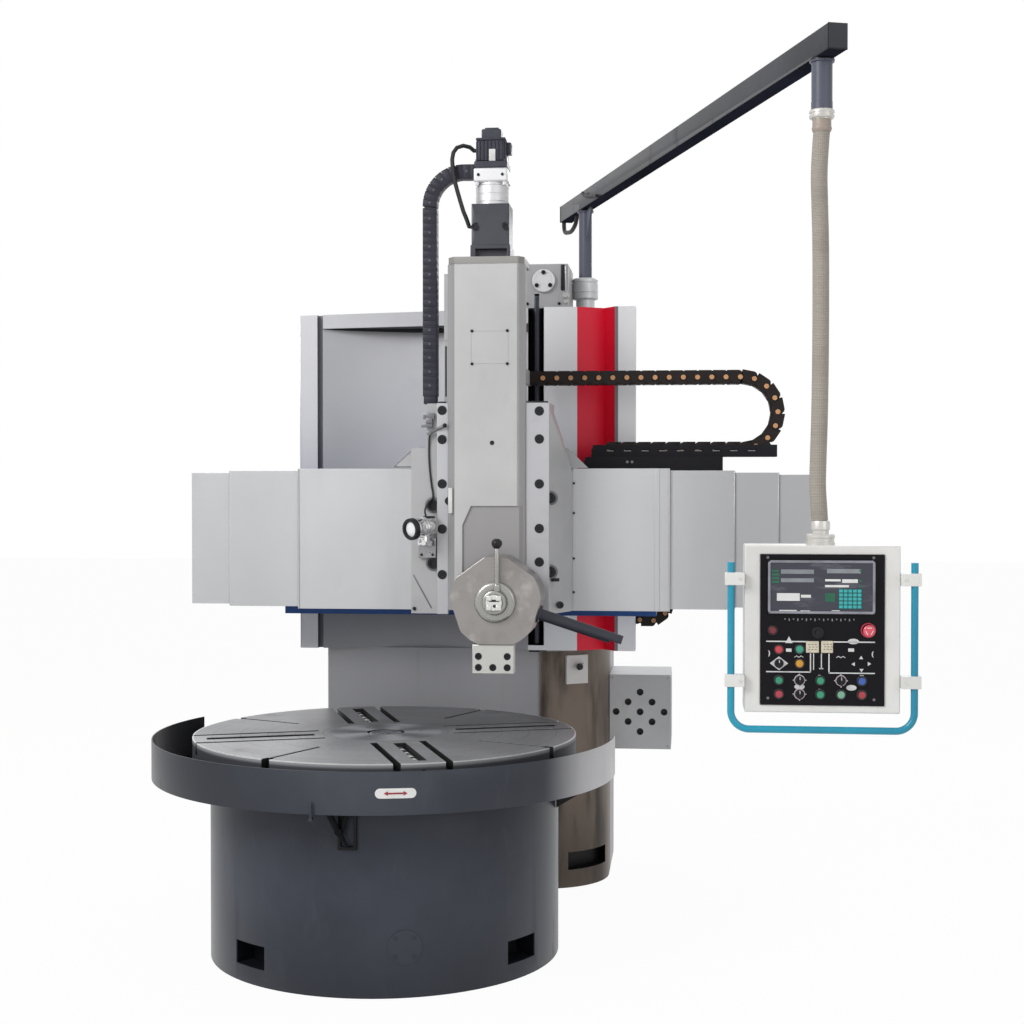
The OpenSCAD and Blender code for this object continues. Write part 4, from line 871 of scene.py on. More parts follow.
# gearbox on top: cover disc, bolts, slot and fitting
gearTrim = {"boltR": 0.0085}
bm = bmesh.new()
disc = Vector((gearBox[0].x + 0.086, gearBox[0].y, gearBox[0].z + 0.112))
lathe(bm, disc, (0, -1, 0), [(-0.002, 0), (-0.002, 0.0475), (0.003, 0.0475), (0.0045, 0.046), (0.0045, 0.036),
    (0.003, 0.035), (0.003, 0)], 64)
piece("gearboxDisc", bm, "machine_frame", aluminium)
bm = bmesh.new()
for turn in (90, 215, 325):
    at = disc + Vector((cos(radians(turn)) * 0.034, -0.004, sin(radians(turn)) * 0.034))
    screwHead(bm, at, (0, -1, 0), gearTrim["boltR"], 0.007)
for x, z in ((0.018, 0.018), (0.018, 0.164), (0.15, 0.018)):
    screwHead(bm, (gearBox[0].x + x, gearBox[0].y + 0.012, gearBox[0].z + z), (0, -1, 0), 0.006, 0.006)
slab(bm, (gearBox[0].x + 0.157, gearBox[0].y + 0.006, gearBox[0].z + 0.072),
    (gearBox[0].x + 0.172, gearBox[0].y + 0.03, gearBox[1].z - 0.004), 0.001)
piece("gearboxBolts", bm, "machine_frame", boltSteel)
bm = bmesh.new()
lathe(bm, (gearBox[0].x + 0.176, gearBox[0].y + 0.02, gearBox[0].z + 0.05), (0, -1, 0),
    [(0, 0), (0, 0.017), (0.012, 0.017), (0.012, 0.012), (0.028, 0.012), (0.03, 0.01), (0.03, 0)], 32)
hexHead(bm, (gearBox[0].x + 0.176, gearBox[0].y + 0.02, gearBox[0].z + 0.028), (0, -1, 0), 0.012, 0.014)
slab(bm, (gearBox[0].x + 0.174, gearBox[0].y + 0.006, gearBox[0].z + 0.06),
    (gearBox[0].x + 0.18, gearBox[0].y + 0.018, gearBox[1].z - 0.01), 0.001)
piece("gearboxFitting", bm, "machine_frame", steel)
refined("lift_gearbox", 0.0025, greyPaint, steps=3)

# flange collar with a gripping ring
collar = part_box("boom_collar")
postAt = Vector(((collar[0].x + collar[1].x) / 2, (collar[0].y + collar[1].y) / 2, collar[0].z))
bm = bmesh.new()
wide, thin = (collar[1].x - collar[0].x) / 2 + 0.004, 0.040
lathe(bm, postAt, (0, 0, 1), [(0, 0), (0, thin), (0.062, thin), (0.065, wide - 0.004), (0.069, wide), (0.088, wide),
    (0.09, wide - 0.0025), (0.094, wide - 0.0025), (0.096, wide),
    (0.132, wide), (0.134, wide - 0.0025), (0.138, wide - 0.0025), (0.14, wide),
    (0.15, wide), (0.155, wide - 0.005), (0.155, 0.0285), (0.1, 0.0284), (0.1, 0)], 64)
piece("postCollar", bm, "machine_frame", metalLook("castSteel", "e6e8e9", "c2c5c6", rough=0.4, along=(400, 400, 400),
    stain=0.2, metal=0.35), ("boom_collar",))

# the motor behind the column: fins, fan cowl and bolts
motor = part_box("main_motor")
fins = {"count": 36, "high": 0.014, "long": 0.34, "thick": 0.004}
axisX, axisZ = (motor[0].x + motor[1].x) / 2, 0.57
motorR = 0.165
bm = bmesh.new()
for k in range(fins["count"]):
    turn = 360 / fins["count"] * k
    if 55 < turn < 125:
        continue
    made = slab(bm, (motorR - 0.003, 0.045 + motor[0].y, -fins["thick"] / 2),
        (motorR + fins["high"], 0.045 + motor[0].y + fins["long"], fins["thick"] / 2), 0.0012, 1)
    swung(bm, made, -turn, (axisX, 0, axisZ))
lathe(bm, (axisX, motor[1].y - 0.05, axisZ), (0, 1, 0), [(0.0, 0.140), (0.0, 0.158), (0.05, 0.158), (0.062, 0.148),
    (0.062, 0.06), (0.058, 0.058), (0.058, 0.0), (0.052, 0.0), (0.052, 0.14), (0.0, 0.14)], 64)
for x, z in around(8, 0.15):
    screwHead(bm, (axisX + x, motor[1].y + 0.004, axisZ + z), (0, 1, 0), 0.005, 0.004)
piece("motorFins", bm, "machine_frame", motorPaint)
bm = bmesh.new()
for x in (-0.16, 0.16):
    for z in (-0.16, 0.16):
        hexHead(bm, (axisX + x, motor[0].y + 0.03, axisZ + z), (0, 1, 0), 0.014, 0.012)
for x in (-0.065, 0.065):
    for y in (0.14, 0.28):
        screwHead(bm, (axisX + x, motor[0].y + y, motor[1].z), (0, 0, 1), 0.006, 0.004)
piece("motorBolts", bm, "machine_frame", boltSteel)
print("column trimmed")

# crossrail and covers

refined("crossrail", 0.002, railBlue)
coverTrim = {"rivetR": 0.0045, "seam": 0.0012}
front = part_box("inner_covers")[0].y
bm = bmesh.new()
for z in (railBox[1].z - 0.02, railBox[1].z - 0.135, railBox[1].z - 0.31, railBox[1].z - 0.44):
    for x in (saddleLeft - 0.011, saddleRight + 0.006):
        screwHead(bm, (x, front, z), (0, -1, 0), coverTrim["rivetR"], 0.0018)
piece("coverRivets", bm, "saddle", boltSteel)
for name, node, end in (("seamLeftInner", "inner_covers", 0), ("seamRightInner", "inner_covers", 1),
        ("seamLeft", "left_cover", 0),
        ("seamRightOne", "right_cover_1", 1), ("seamRightTwo", "right_cover_2", 1)):
    low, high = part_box(node)
    edgeX = (low, high)[end].x
    grow = coverTrim["seam"] * (1, -1)[end]
    bm = bmesh.new()
    slab(bm, (min(edgeX, edgeX + grow * 3), low.y - 0.0002, low.z - 0.0002), (max(edgeX, edgeX + grow * 3),
        low.y + 0.001, high.z + 0.0002), 0.0003, 1)
    slab(bm, (min(edgeX, edgeX + grow * 3), low.y - 0.0002, high.z - 0.001), (max(edgeX, edgeX + grow * 3),
        high.y - 0.01, high.z + 0.0002), 0.0003, 1)
    piece(name, bm, nodes[node]["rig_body"], brightSteel)
    bm = bmesh.new()
    slab(bm, (min(edgeX, edgeX - grow), low.y + 0.0035, low.z + 0.004), (max(edgeX, edgeX - grow), low.y + 0.0075,
        high.z - 0.004))
    piece(name + "Wiper", bm, nodes[node]["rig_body"], rubber)
for node in ("inner_covers", "left_cover", "right_cover_1", "right_cover_2", "end_covers"):
    refined(node, 0.0008, sheetSteel)

# chain tray: bevelled, with light slots and screws
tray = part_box("chain_tray")
refined("chain_tray", 0.0015, bracketBlack)
bm = bmesh.new()
for x in (0.172, 0.191):
    screwHead(bm, (tray[0].x + x, tray[0].y, tray[1].z - 0.068), (0, -1, 0), 0.0055, 0.003)
for k in range(9):
    slab(bm, (tray[0].x + 0.088 + k * 0.07, tray[0].y + 0.0248, tray[1].z - 0.0262), (tray[0].x + 0.116 + k * 0.07,
        tray[0].y + 0.0262, tray[1].z - 0.0218), 0.0005)
piece("trayMarks", bm, "crossrail", rimSteel)
cableFrom = Vector((tray[0].x + 0.490, tray[0].y + 0.015, tray[1].z - 0.072))
curveTube("trayCable", [cableFrom, cableFrom + Vector((0.018, 0, -0.006)), cableFrom + Vector((0.030, 0, -0.022)),
    cableFrom + Vector((0.036, 0.004, -0.044))], 0.005, "crossrail", rubber)
print("crossrail dressed")

# cable chains

linkSet = {"pitch": 0.0547, "plate": 0.005, "step": 0.0016, "dotR": 0.0105, "ringR": 0.0145, "bend": 8, "loop": 5}


def linkPlates(bm, at, along, up, high, wide, odd):
    # one link: two oblong plates with a pin, a bar above and one below
    half, r = linkSet["pitch"] / 2, high / 2
    for y, out in ((0.0, -1), (wide, 1)):
        shift = linkSet["step"] if odd else 0.0
        base = at + Vector((0, y - out * shift, 0))
        rim = []
        for k in range(7):
            turn = radians(-90 + 30 * k)
            rim.append(base + along * (half * 0.72 + r * 0.62 * cos(turn)) + up * (r * sin(turn)))
        for k in range(2):
            rim.append(base - along * (half * 1.02) + up * (r if k == 0 else -r))
        outline(bm, rim, Vector((0, -out * linkSet["plate"], 0)))
        pin = base + along * half * 0.9
        tint(lathe(bm, pin, (0, out, 0), [(-0.001, 0), (-0.001, linkSet["ringR"]), (0.0008, linkSet["ringR"]),
            (0.0012, linkSet["ringR"] - 0.001), (0.0012, 0)], 20), 2)
        tint(lathe(bm, pin, (0, out, 0), [(0, 0), (0, linkSet["dotR"]), (0.0022, linkSet["dotR"] - 0.001),
            (0.0026, 0)], 16), 1)
    for lift in (r - 0.004, -r):
        centre = at + Vector((0, wide / 2, 0)) + up * (lift + 0.002) - along * 0.004
        made = slab(bm, (-0.012, -wide / 2 + 0.005, -0.002), (0.012, wide / 2 - 0.005, 0.002), 0.0008, 1)
        laid(bm, made, centre, along, (0, 1, 0), up)
    # slanted stop tooth on the inner edge
    made = outline(bm, [at + along * (-half * 0.6) - up * (r * 0.55), at + along * (half * 0.35) - up * (r * 1.0),
        at + along * (-half * 0.75) - up * (r * 1.0)], Vector((0, -0.0016, 0)))
    tint(made, 2)


def chainPiece(name, places, high, wide, body, stands):
    bm = bmesh.new()
    for k, (at, along, up) in enumerate(places):
        linkPlates(bm, Vector(at), Vector(along).normalized(), Vector(up).normalized(), high, wide, k % 2)
    return manyLooks(piece(name, bm, body, chainPlastic, stands), linkOrange, linkDark)


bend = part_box("chain_bend")
topBox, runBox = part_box("chain_top"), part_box("chain_run")
chainHigh, chainWide = topBox[1].z - topBox[0].z, topBox[1].y - topBox[0].y
bendAt = Vector((bend[0].x, bend[0].y, (bend[0].z + bend[1].z) / 2))
bendR = (bend[1].z - bend[0].z - chainHigh) / 2
topZ, runZ = bendAt.z + bendR, bendAt.z - bendR
count = int((bendAt.x - topBox[0].x) / linkSet["pitch"])
step = (bendAt.x - topBox[0].x) / count
places = [((topBox[0].x + step * (k + 0.5), topBox[0].y, topZ), (1, 0, 0), (0, 0, 1)) for k in range(count)]
made = chainPiece("chainTopLinks", places, chainHigh, chainWide, None, ("chain_top",))
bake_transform(made)
chainPiece("chainBendLinks", bendPlaces(bendAt, bendR, 90, -180, linkSet["bend"]), chainHigh, chainWide, "chain_bend",
    ("chain_bend",))
count = int((bendAt.x - runBox[0].x) / linkSet["pitch"])
step = (bendAt.x - runBox[0].x) / count
places = [((bendAt.x - step * (k + 0.5), runBox[0].y, runZ), (-1, 0, 0), (0, 0, -1)) for k in range(count)]
made = chainPiece("chainRunLinks", places, chainHigh, chainWide, None, ("chain_run",))
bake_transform(made)

# loop of chain between column and crossrail
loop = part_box("lift_chain")
loopHigh = 0.048
loopR = (loop[1].x - loop[0].x - loopHigh) / 2
loopAt = Vector(((loop[0].x + loop[1].x) / 2, loop[0].y, loop[0].z + loopR + loopHigh / 2))
places = []
z = loop[1].z - 0.06 - linkSet["pitch"] / 2
while z > loopAt.z:
    places.append(((loopAt.x - loopR, loopAt.y, z), (0, 0, -1), (-1, 0, 0)))
    z -= linkSet["pitch"]
places += bendPlaces(loopAt, loopR, 180, 180, linkSet["loop"])
z = loopAt.z + linkSet["pitch"] / 2
while z < railBox[0].z + 0.31 + 0.072:
    places.append(((loopAt.x + loopR, loopAt.y, z), (0, 0, 1), (1, 0, 0)))
    z += linkSet["pitch"]
made = chainPiece("liftChainLinks", places, loopHigh, 0.05, None, ("lift_chain",))
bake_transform(made)
print("chains linked")

# saddle

refined("saddle", 0.003, saddlePaint)
refined("saddle_gibs", 0.0015, gibSteel)
saddleTop, gibFront = gibBox[1].z, gibBox[0].y
gibBolts = {"r": 0.0145, "high": 0.005,
    "left": (0.027, 0.136, 0.302, 0.471, 0.642), "right": (0.031, 0.135, 0.302, 0.468, 0.593)}
# cap screws in counterbores, each with a thin dark ring of painted shade in its bore
bm, bores = bmesh.new(), bmesh.new()
for side, x in (("left", gibBox[0].x + 0.0195), ("right", gibBox[1].x - 0.0365)):
    for drop in gibBolts[side]:
        screwHead(bm, (x, gibFront, saddleTop - drop), (0, -1, 0), gibBolts["r"], gibBolts["high"], 0.6)
        lathe(bores, (x, gibFront, saddleTop - drop), (0, -1, 0), [(0, 0), (0, 0.0178), (0.0006, 0.0175),
            (0.0008, 0.0155), (0.0008, 0)], 28)
piece("gibBolts", bm, "saddle", boltSteel)
piece("gibBores", bores, "saddle", plasticLook("boreShade", "101014", 0.5))
# end caps on top of the strips
bm = bmesh.new()
for low, high in ((gibBox[0].x + 0.004, gibBox[0].x + 0.034), (gibBox[1].x - 0.085, gibBox[1].x - 0.004)):
    slab(bm, (low, gibFront + 0.001, saddleTop), (high, gibFront + 0.012, saddleTop + 0.006), 0.0012)
piece("gibCaps", bm, "saddle", boltSteel)
faceY = saddleBox[0].y
bigBolts = {"r": 0.022, "high": 0.016}
bm = bmesh.new()
rims = bmesh.new()
for x, z, big in ((0.083, 1.623, 1), (0.085, 1.405, 1), (0.5, 1.650, 0.9), (0.5, 1.374, 0.9)):
    at = Vector((saddleLeft + x, faceY, z)) if x < 0.4 else Vector((gibBox[1].x + 0.004, faceY + 0.008, z))
    screwHead(bm, at, (0, -1, 0), bigBolts["r"] * big, bigBolts["high"], 0.6)
    lathe(rims, at, (0, -1, 0), [(-0.006, 0), (-0.006, 0.03 * big), (0.002, 0.03 * big), (0.0035, 0.0285 * big),
        (0.0035, 0)], 36)
piece("saddleBolts", bm, "saddle", boltSteel)
piece("saddleBoltRims", rims, "saddle", rimSteel)
bm = bmesh.new()
screwHead(bm, (saddleRight - 0.037, gibFront + 0.075, 1.247), (0.4, -1, 0), 0.014, 0.008)
slab(bm, (gibBox[1].x + 0.006, gibFront + 0.028, 1.338), (gibBox[1].x + 0.036, gibFront + 0.05, 1.350), 0.002)
screwHead(bm, (saddleLeft + 0.012, faceY, 1.233), (0, -1, 0), 0.007, 0.004)
piece("saddleScrews", bm, "saddle", boltSteel)
# ridge across the lower left corner of the casting, and a web beside the upper left one
bm = bmesh.new()
made = slab(bm, (-0.072, -0.0030, -0.0022), (0.072, 0.001, 0.0022), 0.0006)
tint(made, 1)
swung(bm, made, 61, (saddleLeft + 0.042, faceY, 1.298))
web = {"wide": 0.070, "high": 0.064, "thick": 0.010}
corner = Vector((saddleLeft + 0.001, faceY + 0.02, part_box("inner_covers")[1].z + 0.006))
outline(bm, [corner, corner + Vector((0, 0, web["high"])), corner + Vector((-web["wide"], 0, 0))],
    (0, web["thick"], 0), 0.0015, 1)
manyLooks(piece("saddleRidges", bm, "saddle", saddlePaint), rimSteel)
bm = bmesh.new()
rod(bm, corner + Vector((-web["wide"], -0.001, 0)), corner + Vector((0, -0.001, web["high"])), 0.0016, 8)
slab(bm, (-web["wide"], -0.002, -0.003), (0, 0.002, 0.001), 0.0005, 1, at=corner)
piece("webEdges", bm, "saddle", rimSteel)
# white scale strip with its half-round knob beside the ram
bm = bmesh.new()
slab(bm, (gibBox[0].x + 0.048, ramFace - 0.003, 1.594), (gibBox[0].x + 0.063, ramFace + 0.005, 1.688), 0.0012)
piece("scaleStrip", bm, "saddle", whitePlastic)
bm = bmesh.new()
lathe(bm, (gibBox[0].x + 0.046, gibFront + 0.004, 1.639), (0, -1, 0), [(0, 0), (0, 0.016), (0.007, 0.016),
    (0.009, 0.014), (0.009, 0)], 32)
piece("scaleKnob", bm, "saddle", blackPlastic)
# thin lamp cable down the face
cable = {"r": 0.0035}
curveTube("lampCable", [(0.142, faceY - 0.012, 1.892), (0.1385, faceY - 0.006, 1.86), (0.139, faceY - 0.005, 1.78),
    (0.147, faceY - 0.005, 1.70), (0.153, faceY - 0.010, 1.653), (0.142, faceY - 0.05, 1.632),
    (0.132, faceY - 0.066, 1.604), (0.136, faceY - 0.064, 1.578)], cable["r"], "saddle", rubber)
# clip plates and lubricator lever under the carrier's foot
bm = bmesh.new()
slab(bm, (0.117, faceY - 0.014, 1.945), (0.160, faceY - 0.001, 1.968), 0.0015)
slab(bm, (0.128, faceY - 0.02, 1.930), (0.152, faceY - 0.002, 1.95), 0.0015)
for x in (0.123, 0.154):
    screwHead(bm, (x, faceY - 0.014, 1.957), (0, -1, 0), 0.004, 0.002)
piece("carrierFoot", bm, "saddle", rimSteel)
bm = bmesh.new()
slab(bm, (0.110, faceY - 0.016, 1.915), (0.152, faceY - 0.001, 1.93), 0.0015)
rod(bm, (0.140, faceY - 0.014, 1.893), (0.199, faceY - 0.04, 1.919), 0.0055, 14, edge=0.0015)
rod(bm, (0.140, faceY - 0.001, 1.893), (0.140, faceY - 0.022, 1.893), 0.009, 20, edge=0.0015)
piece("oilLever", bm, "saddle", rimSteel)
bm = bmesh.new()
ball(bm, (0.203, faceY - 0.042, 1.921), 0.0085, 16)
piece("oilLeverKnob", bm, "saddle", blackPlastic)
print("saddle dressed")

# ram, motor and carrier

refined("ram", 0.0025, ramPaint, steps=3)
plateMark = {"left": 0.091, "right": 0.068, "low": 0.397, "high": 0.275, "line": 0.0016}
bm = bmesh.new()
x0, x1 = ramLeft + plateMark["left"], ramRight - plateMark["right"]
z0, z1 = ramBox[1].z - plateMark["low"], ramBox[1].z - plateMark["high"]
for low, high in (((x0, z0), (x1, z0 + plateMark["line"])), ((x0, z1 - plateMark["line"]), (x1, z1)),
        ((x0, z0), (x0 + plateMark["line"], z1)), ((x1 - plateMark["line"], z0), (x1, z1))):
    slab(bm, (low[0], ramFace - 0.0008, low[1]), (high[0], ramFace + 0.0005, high[1]), 0.0003, 1)
piece("namePlateEdge", bm, "ram", greyPaint)
bm = bmesh.new()
for x in (x0 + 0.004, x1 - 0.004):
    for z in (z0, z1):
        screwHead(bm, (x, ramFace, z), (0, -1, 0), 0.0055, 0.003)
lathe(bm, (ramLeft + 0.170, ramFace, ramBox[1].z - 0.69), (0, -1, 0), [(0, 0), (0, 0.0085), (0.0012, 0.0085),
    (0.002, 0.0075), (0.0012, 0.005), (0.0012, 0)], 24)
piece("ramScrews", bm, "ram", boltSteel)
# seam of the ram's front cover
bm = bmesh.new()
slab(bm, (ramRight - 0.0305, ramFace - 0.0006, 1.62), (ramRight - 0.0290, ramFace + 0.0006, ramBox[1].z - 0.03))
piece("coverSeam", bm, "ram", plasticLook("seamGrey", "8b8b8c", 0.5))
# way wipers and a dark guide strip behind the ram's left edge
bm = bmesh.new()
slab(bm, (ramLeft - 0.0145, 0.16005, 2.03), (ramLeft - 0.008, 0.1615, 2.22), 0.0003, 1)
slab(bm, (ramLeft - 0.0145, 0.16005, 2.33), (ramLeft - 0.008, 0.1615, 2.36), 0.0003, 1)
piece("ramStrips", bm, "ram", blackPlastic)
bm = bmesh.new()
slab(bm, (ramLeft - 0.018, 0.158, 2.24), (ramLeft - 0.002, 0.1604, 2.48), 0.002)
piece("ramSideBar", bm, "ram", greyPaint)

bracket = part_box("motor_bracket")
refined("motor_bracket", 0.0025, bracketPaint)
bm = bmesh.new()
for x in (bracket[0].x + 0.012, bracket[1].x - 0.012):
    for y in (bracket[0].y + 0.012, bracket[1].y - 0.012):
        hexHead(bm, (x, y, bracket[0].z + 0.05), (0, 0, 1), 0.006, 0.007)
for x in (bracket[0].x + 0.017, bracket[1].x - 0.017):
    screwHead(bm, (x, bracket[0].y, bracket[0].z + 0.118), (0, -1, 0), 0.0125, 0.006)
piece("bracketBolts", bm, "ram", boltSteel)

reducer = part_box("reducer")
motorAt = Vector(((reducer[0].x + reducer[1].x) / 2, (reducer[0].y + reducer[1].y) / 2, reducer[0].z))
bm = bmesh.new()
lathe(bm, motorAt, (0, 0, 1), [(0, 0), (0, 0.0625), (0.006, 0.0625), (0.008, 0.0605), (0.011, 0.0605), (0.013, 0.062),
    (0.035, 0.062), (0.037, 0.0605), (0.040, 0.0605), (0.042, 0.062), (0.070, 0.062), (0.074, 0.058), (0.083, 0.058),
    (0.083, 0)], 72)
slab(bm, (-0.064, -0.064, 0.082), (0.064, 0.064, 0.134), 0.007, 4, at=motorAt)
for x in (-0.052, 0.052):
    for y in (-0.052, 0.052):
        rod(bm, motorAt + Vector((x, y, 0.070)), motorAt + Vector((x, y, 0.083)), 0.008, 6)
piece("reducerBody", bm, "ram", aluminium, ("reducer",))
bm = bmesh.new()
lathe(bm, motorAt + Vector((0, 0, 0.134)), (0, 0, 1), [(-0.003, 0), (-0.003, 0.0605), (-0.0008, 0.0605),
    (-0.0008, 0)], 48)
for x in (-0.045, 0.045):
    screwHead(bm, motorAt + Vector((x, -0.064, 0.108)), (0, -1, 0), 0.0055, 0.003)
piece("reducerPlugs", bm, "ram", boltSteel)

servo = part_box("servo_motor")
servoAt = Vector((motorAt.x, motorAt.y, servo[0].z))
bm = bmesh.new()
slab(bm, (-0.062, -0.062, 0), (0.062, 0.062, 0.026), 0.005, 3, at=servoAt)
slab(bm, (-0.051, -0.051, 0.024), (0.051, 0.051, 0.112), 0.008, 3, at=servoAt)
slab(bm, (-0.0565, -0.0565, 0.103), (0.0565, 0.0565, 0.114), 0.006, 3, at=servoAt)
slab(bm, (-0.037, -0.037, 0.108), (0.037, 0.037, 0.150), 0.006, 3, at=servoAt)
slab(bm, (-0.026, -0.03, 0.146), (0.028, 0.03, 0.156), 0.004, 2, at=servoAt)
for k in range(7):
    spread = -0.042 + 0.014 * k
    for side in (-1, 1):
        slab(bm, (spread - 0.0022, side * 0.0535 - 0.003, 0.028), (spread + 0.0022, side * 0.0535 + 0.003, 0.102),
            0.0012, 1, at=servoAt)
        slab(bm, (side * 0.0535 - 0.003, spread - 0.0022, 0.028), (side * 0.0535 + 0.003, spread + 0.0022, 0.102),
            0.0012, 1, at=servoAt)
for x, y in ((-0.0525, -0.0525), (0.0525, -0.0525), (-0.0525, 0.0525), (0.0525, 0.0525)):
    screwHead(bm, servoAt + Vector((x, y, 0.026)), (0, 0, 1), 0.0055, 0.006)
slab(bm, (0.050, -0.025, 0.058), (0.0735, 0.025, 0.100), 0.003, 2, at=servoAt)
rod(bm, servoAt + Vector((0.060, 0, 0.084)), servoAt + Vector((0.0735, 0, 0.084)), 0.017, 20, edge=0.002)
rod(bm, servoAt + Vector((-0.050, 0, 0.07)), servoAt + Vector((-0.0575, 0, 0.07)), 0.019, 24, edge=0.002)
rod(bm, servoAt + Vector((0, 0.02, 0.156)), servoAt + Vector((0, 0.03, 0.156)), 0.008, 16)
piece("servoBody", bm, "ram", servoBlack, ("servo_motor",))
bm = bmesh.new()
slab(bm, (-0.006, -0.0574, 0.026), (0.018, -0.0560, 0.070), 0.0005, 1, at=servoAt)
slab(bm, (0.0566, -0.018, 0.030), (0.0578, 0.014, 0.050), 0.0005, 1, at=servoAt)
piece("servoLabel", bm, "ram", whitePlastic)

# banded cable carrier from the saddle to the motor
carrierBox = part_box("ram_carrier")
carrier = {"pitch": 0.0262, "half": 0.028, "bend": 8}
bendR = 0.128
carrierX = carrierBox[0].x + carrier["half"]
carrierTop = carrierBox[1].z - carrier["half"]
bendAt = Vector((carrierX + bendR, (carrierBox[0].y + carrierBox[1].y) / 2, carrierTop - bendR))
wide = (carrierBox[1].y - carrierBox[0].y) / 2
stations = []
z = carrierBox[0].z + carrier["pitch"] / 2 + 0.03
while z < bendAt.z:
    stations.append((Vector((carrierX, bendAt.y, z)), Vector((0, 0, 1)), Vector((-1, 0, 0))))
    z += carrier["pitch"]
stations += bendPlaces(bendAt, bendR, 180, -90, carrier["bend"])
x = bendAt.x + carrier["pitch"] / 2
while x < carrierBox[1].x:
    stations.append((Vector((x, bendAt.y, carrierTop)), Vector((1, 0, 0)), Vector((0, 0, 1))))
    x += carrier["pitch"]
bm = bmesh.new()
for k, (at, along, up) in enumerate(stations):
    half, tall = carrier["pitch"] / 2, carrier["half"]
    grow = 0.0 if k % 2 else -0.0006
    low, high = (-half - 0.001, -wide - grow + 0.0005, -tall + 0.0015), (half + 0.001, wide + grow - 0.0005,
        tall - 0.0015)
    rib = (half - 0.004, -wide - 0.0012, -tall + 0.004), (half, -wide + 0.004, tall - 0.004)
    for made in (slab(bm, low, high, 0.0018, 2), slab(bm, *rib, 0.0006, 1)):
        laid(bm, made, at, along, (0, 1, 0), up)
    if k % 2:
        made = lathe(bm, at + Vector((0, -wide - 0.0002, 0)), (0, -1, 0), [(0, 0), (0, 0.0055), (0.0012, 0.005),
            (0.0012, 0)], 14)
        tint(made, 1)
slab(bm, (carrierX - 0.024, bendAt.y - wide + 0.004, carrierBox[0].z), (carrierX + 0.024, bendAt.y + wide - 0.004,
    carrierBox[0].z + 0.034), 0.002)
made = manyLooks(piece("carrierLinks", bm, None, plasticLook("carrierBlack", "363541", 0.46, 0.1, 0.7, shine=0.25),
    ("ram_carrier",)), plasticLook("carrierPin", "4f4f5a", 0.45))
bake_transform(made)
print("ram dressed")

# turret

refined("turret", 0.0045, turretSteel, steps=3, angle=30)
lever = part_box("turret_lever")
turretAt = Vector(((turretBox[0].x + turretBox[1].x) / 2, turretBox[0].y, lever[0].z + 0.074))
bm = bmesh.new()
front = lever[1].y
lathe(bm, (turretAt.x, front, turretAt.z), (0, -1, 0), [(0, 0.0305), (0, 0.072), (0.003, 0.0735), (0.014, 0.0735),
    (0.019, 0.0705), (0.022, 0.064), (0.022, 0.046), (0.0215, 0.0445), (0.036, 0.0435), (0.040, 0.0415),
    (0.0415, 0.038), (0.0415, 0.0315), (0.040, 0.0305), (0, 0.0305)], 96)
rod(bm, (turretAt.x + 0.009, front - 0.0295, turretAt.z + 0.03), (turretAt.x + 0.009, front - 0.0295,
    turretAt.z + 0.205), 0.0083, 24, edge=0.001)
rod(bm, (turretAt.x + 0.009, front - 0.0295, turretAt.z + 0.04), (turretAt.x + 0.009, front - 0.0295,
    turretAt.z + 0.066), 0.0125, 24, edge=0.0025)
piece("leverBody", bm, "turret_lever", metalLook("hubSteel", "b9b9b5", "8b8b87", rough=0.26, along=(400, 400, 400),
    stain=0.08, metal=0.8), ("turret_lever",))
bm = bmesh.new()
lathe(bm, (turretAt.x + 0.009, front - 0.0295, turretAt.z + 0.193), (0, 0, 1), [(0, 0), (0, 0.009), (0.004, 0.013),
    (0.012, 0.0185), (0.02, 0.0195), (0.028, 0.017), (0.0345, 0.009), (0.0355, 0)], 40)
piece("leverKnob", bm, "turret_lever", blackPlastic)
# inner hub on the pin: four jaws round a slot, and a small hole
bm = bmesh.new()
pinFront = turretBox[0].y - 0.0461
lathe(bm, (turretAt.x, pinFront, turretAt.z), (0, -1, 0), [(-0.004, 0), (-0.004, 0.0285), (0.002, 0.0285),
    (0.0035, 0.027), (0.0035, 0)], 64)
for x, z in around(4, 0.024, 45):
    slab(bm, (-0.010, -0.006, -0.010), (0.010, 0.004, 0.010), 0.0035, 3, at=(turretAt.x + x, pinFront - 0.003,
        turretAt.z + z))
piece("hubJaws", bm, "turret", metalLook("jawSteel", "efefec", "cfcfcc", rough=0.2, along=(300, 300, 300), stain=0.06,
    metal=0.7))
# the slot and the small hole are flat dark marks: painted shade
bm = bmesh.new()
slab(bm, (turretAt.x - 0.017, pinFront - 0.0044, turretAt.z + 0.004), (turretAt.x + 0.019, pinFront - 0.003,
    turretAt.z + 0.0125), 0.001, 1)
lathe(bm, (turretAt.x + 0.003, pinFront - 0.003, turretAt.z - 0.011), (0, -1, 0),
    [(0, 0), (0, 0.006), (0.0012, 0.0058), (0.0012, 0)], 20)
piece("hubMarks", bm, "turret", plasticLook("hubHoleShade", "121214", 0.5))
# clamp screws of the turret's sockets
bm = bmesh.new()
sockets = {"turns": (18, 162, 234, 306), "r": 0.128}
for turn in sockets["turns"]:
    way = Vector((cos(radians(turn)) * sockets["r"], 0, sin(radians(turn)) * sockets["r"]))
    screwHead(bm, Vector((turretAt.x, turretBox[0].y, turretAt.z)) + way, (0, -1, 0), 0.006, 0.001)
piece("socketScrews", bm, "turret", turretSteel)
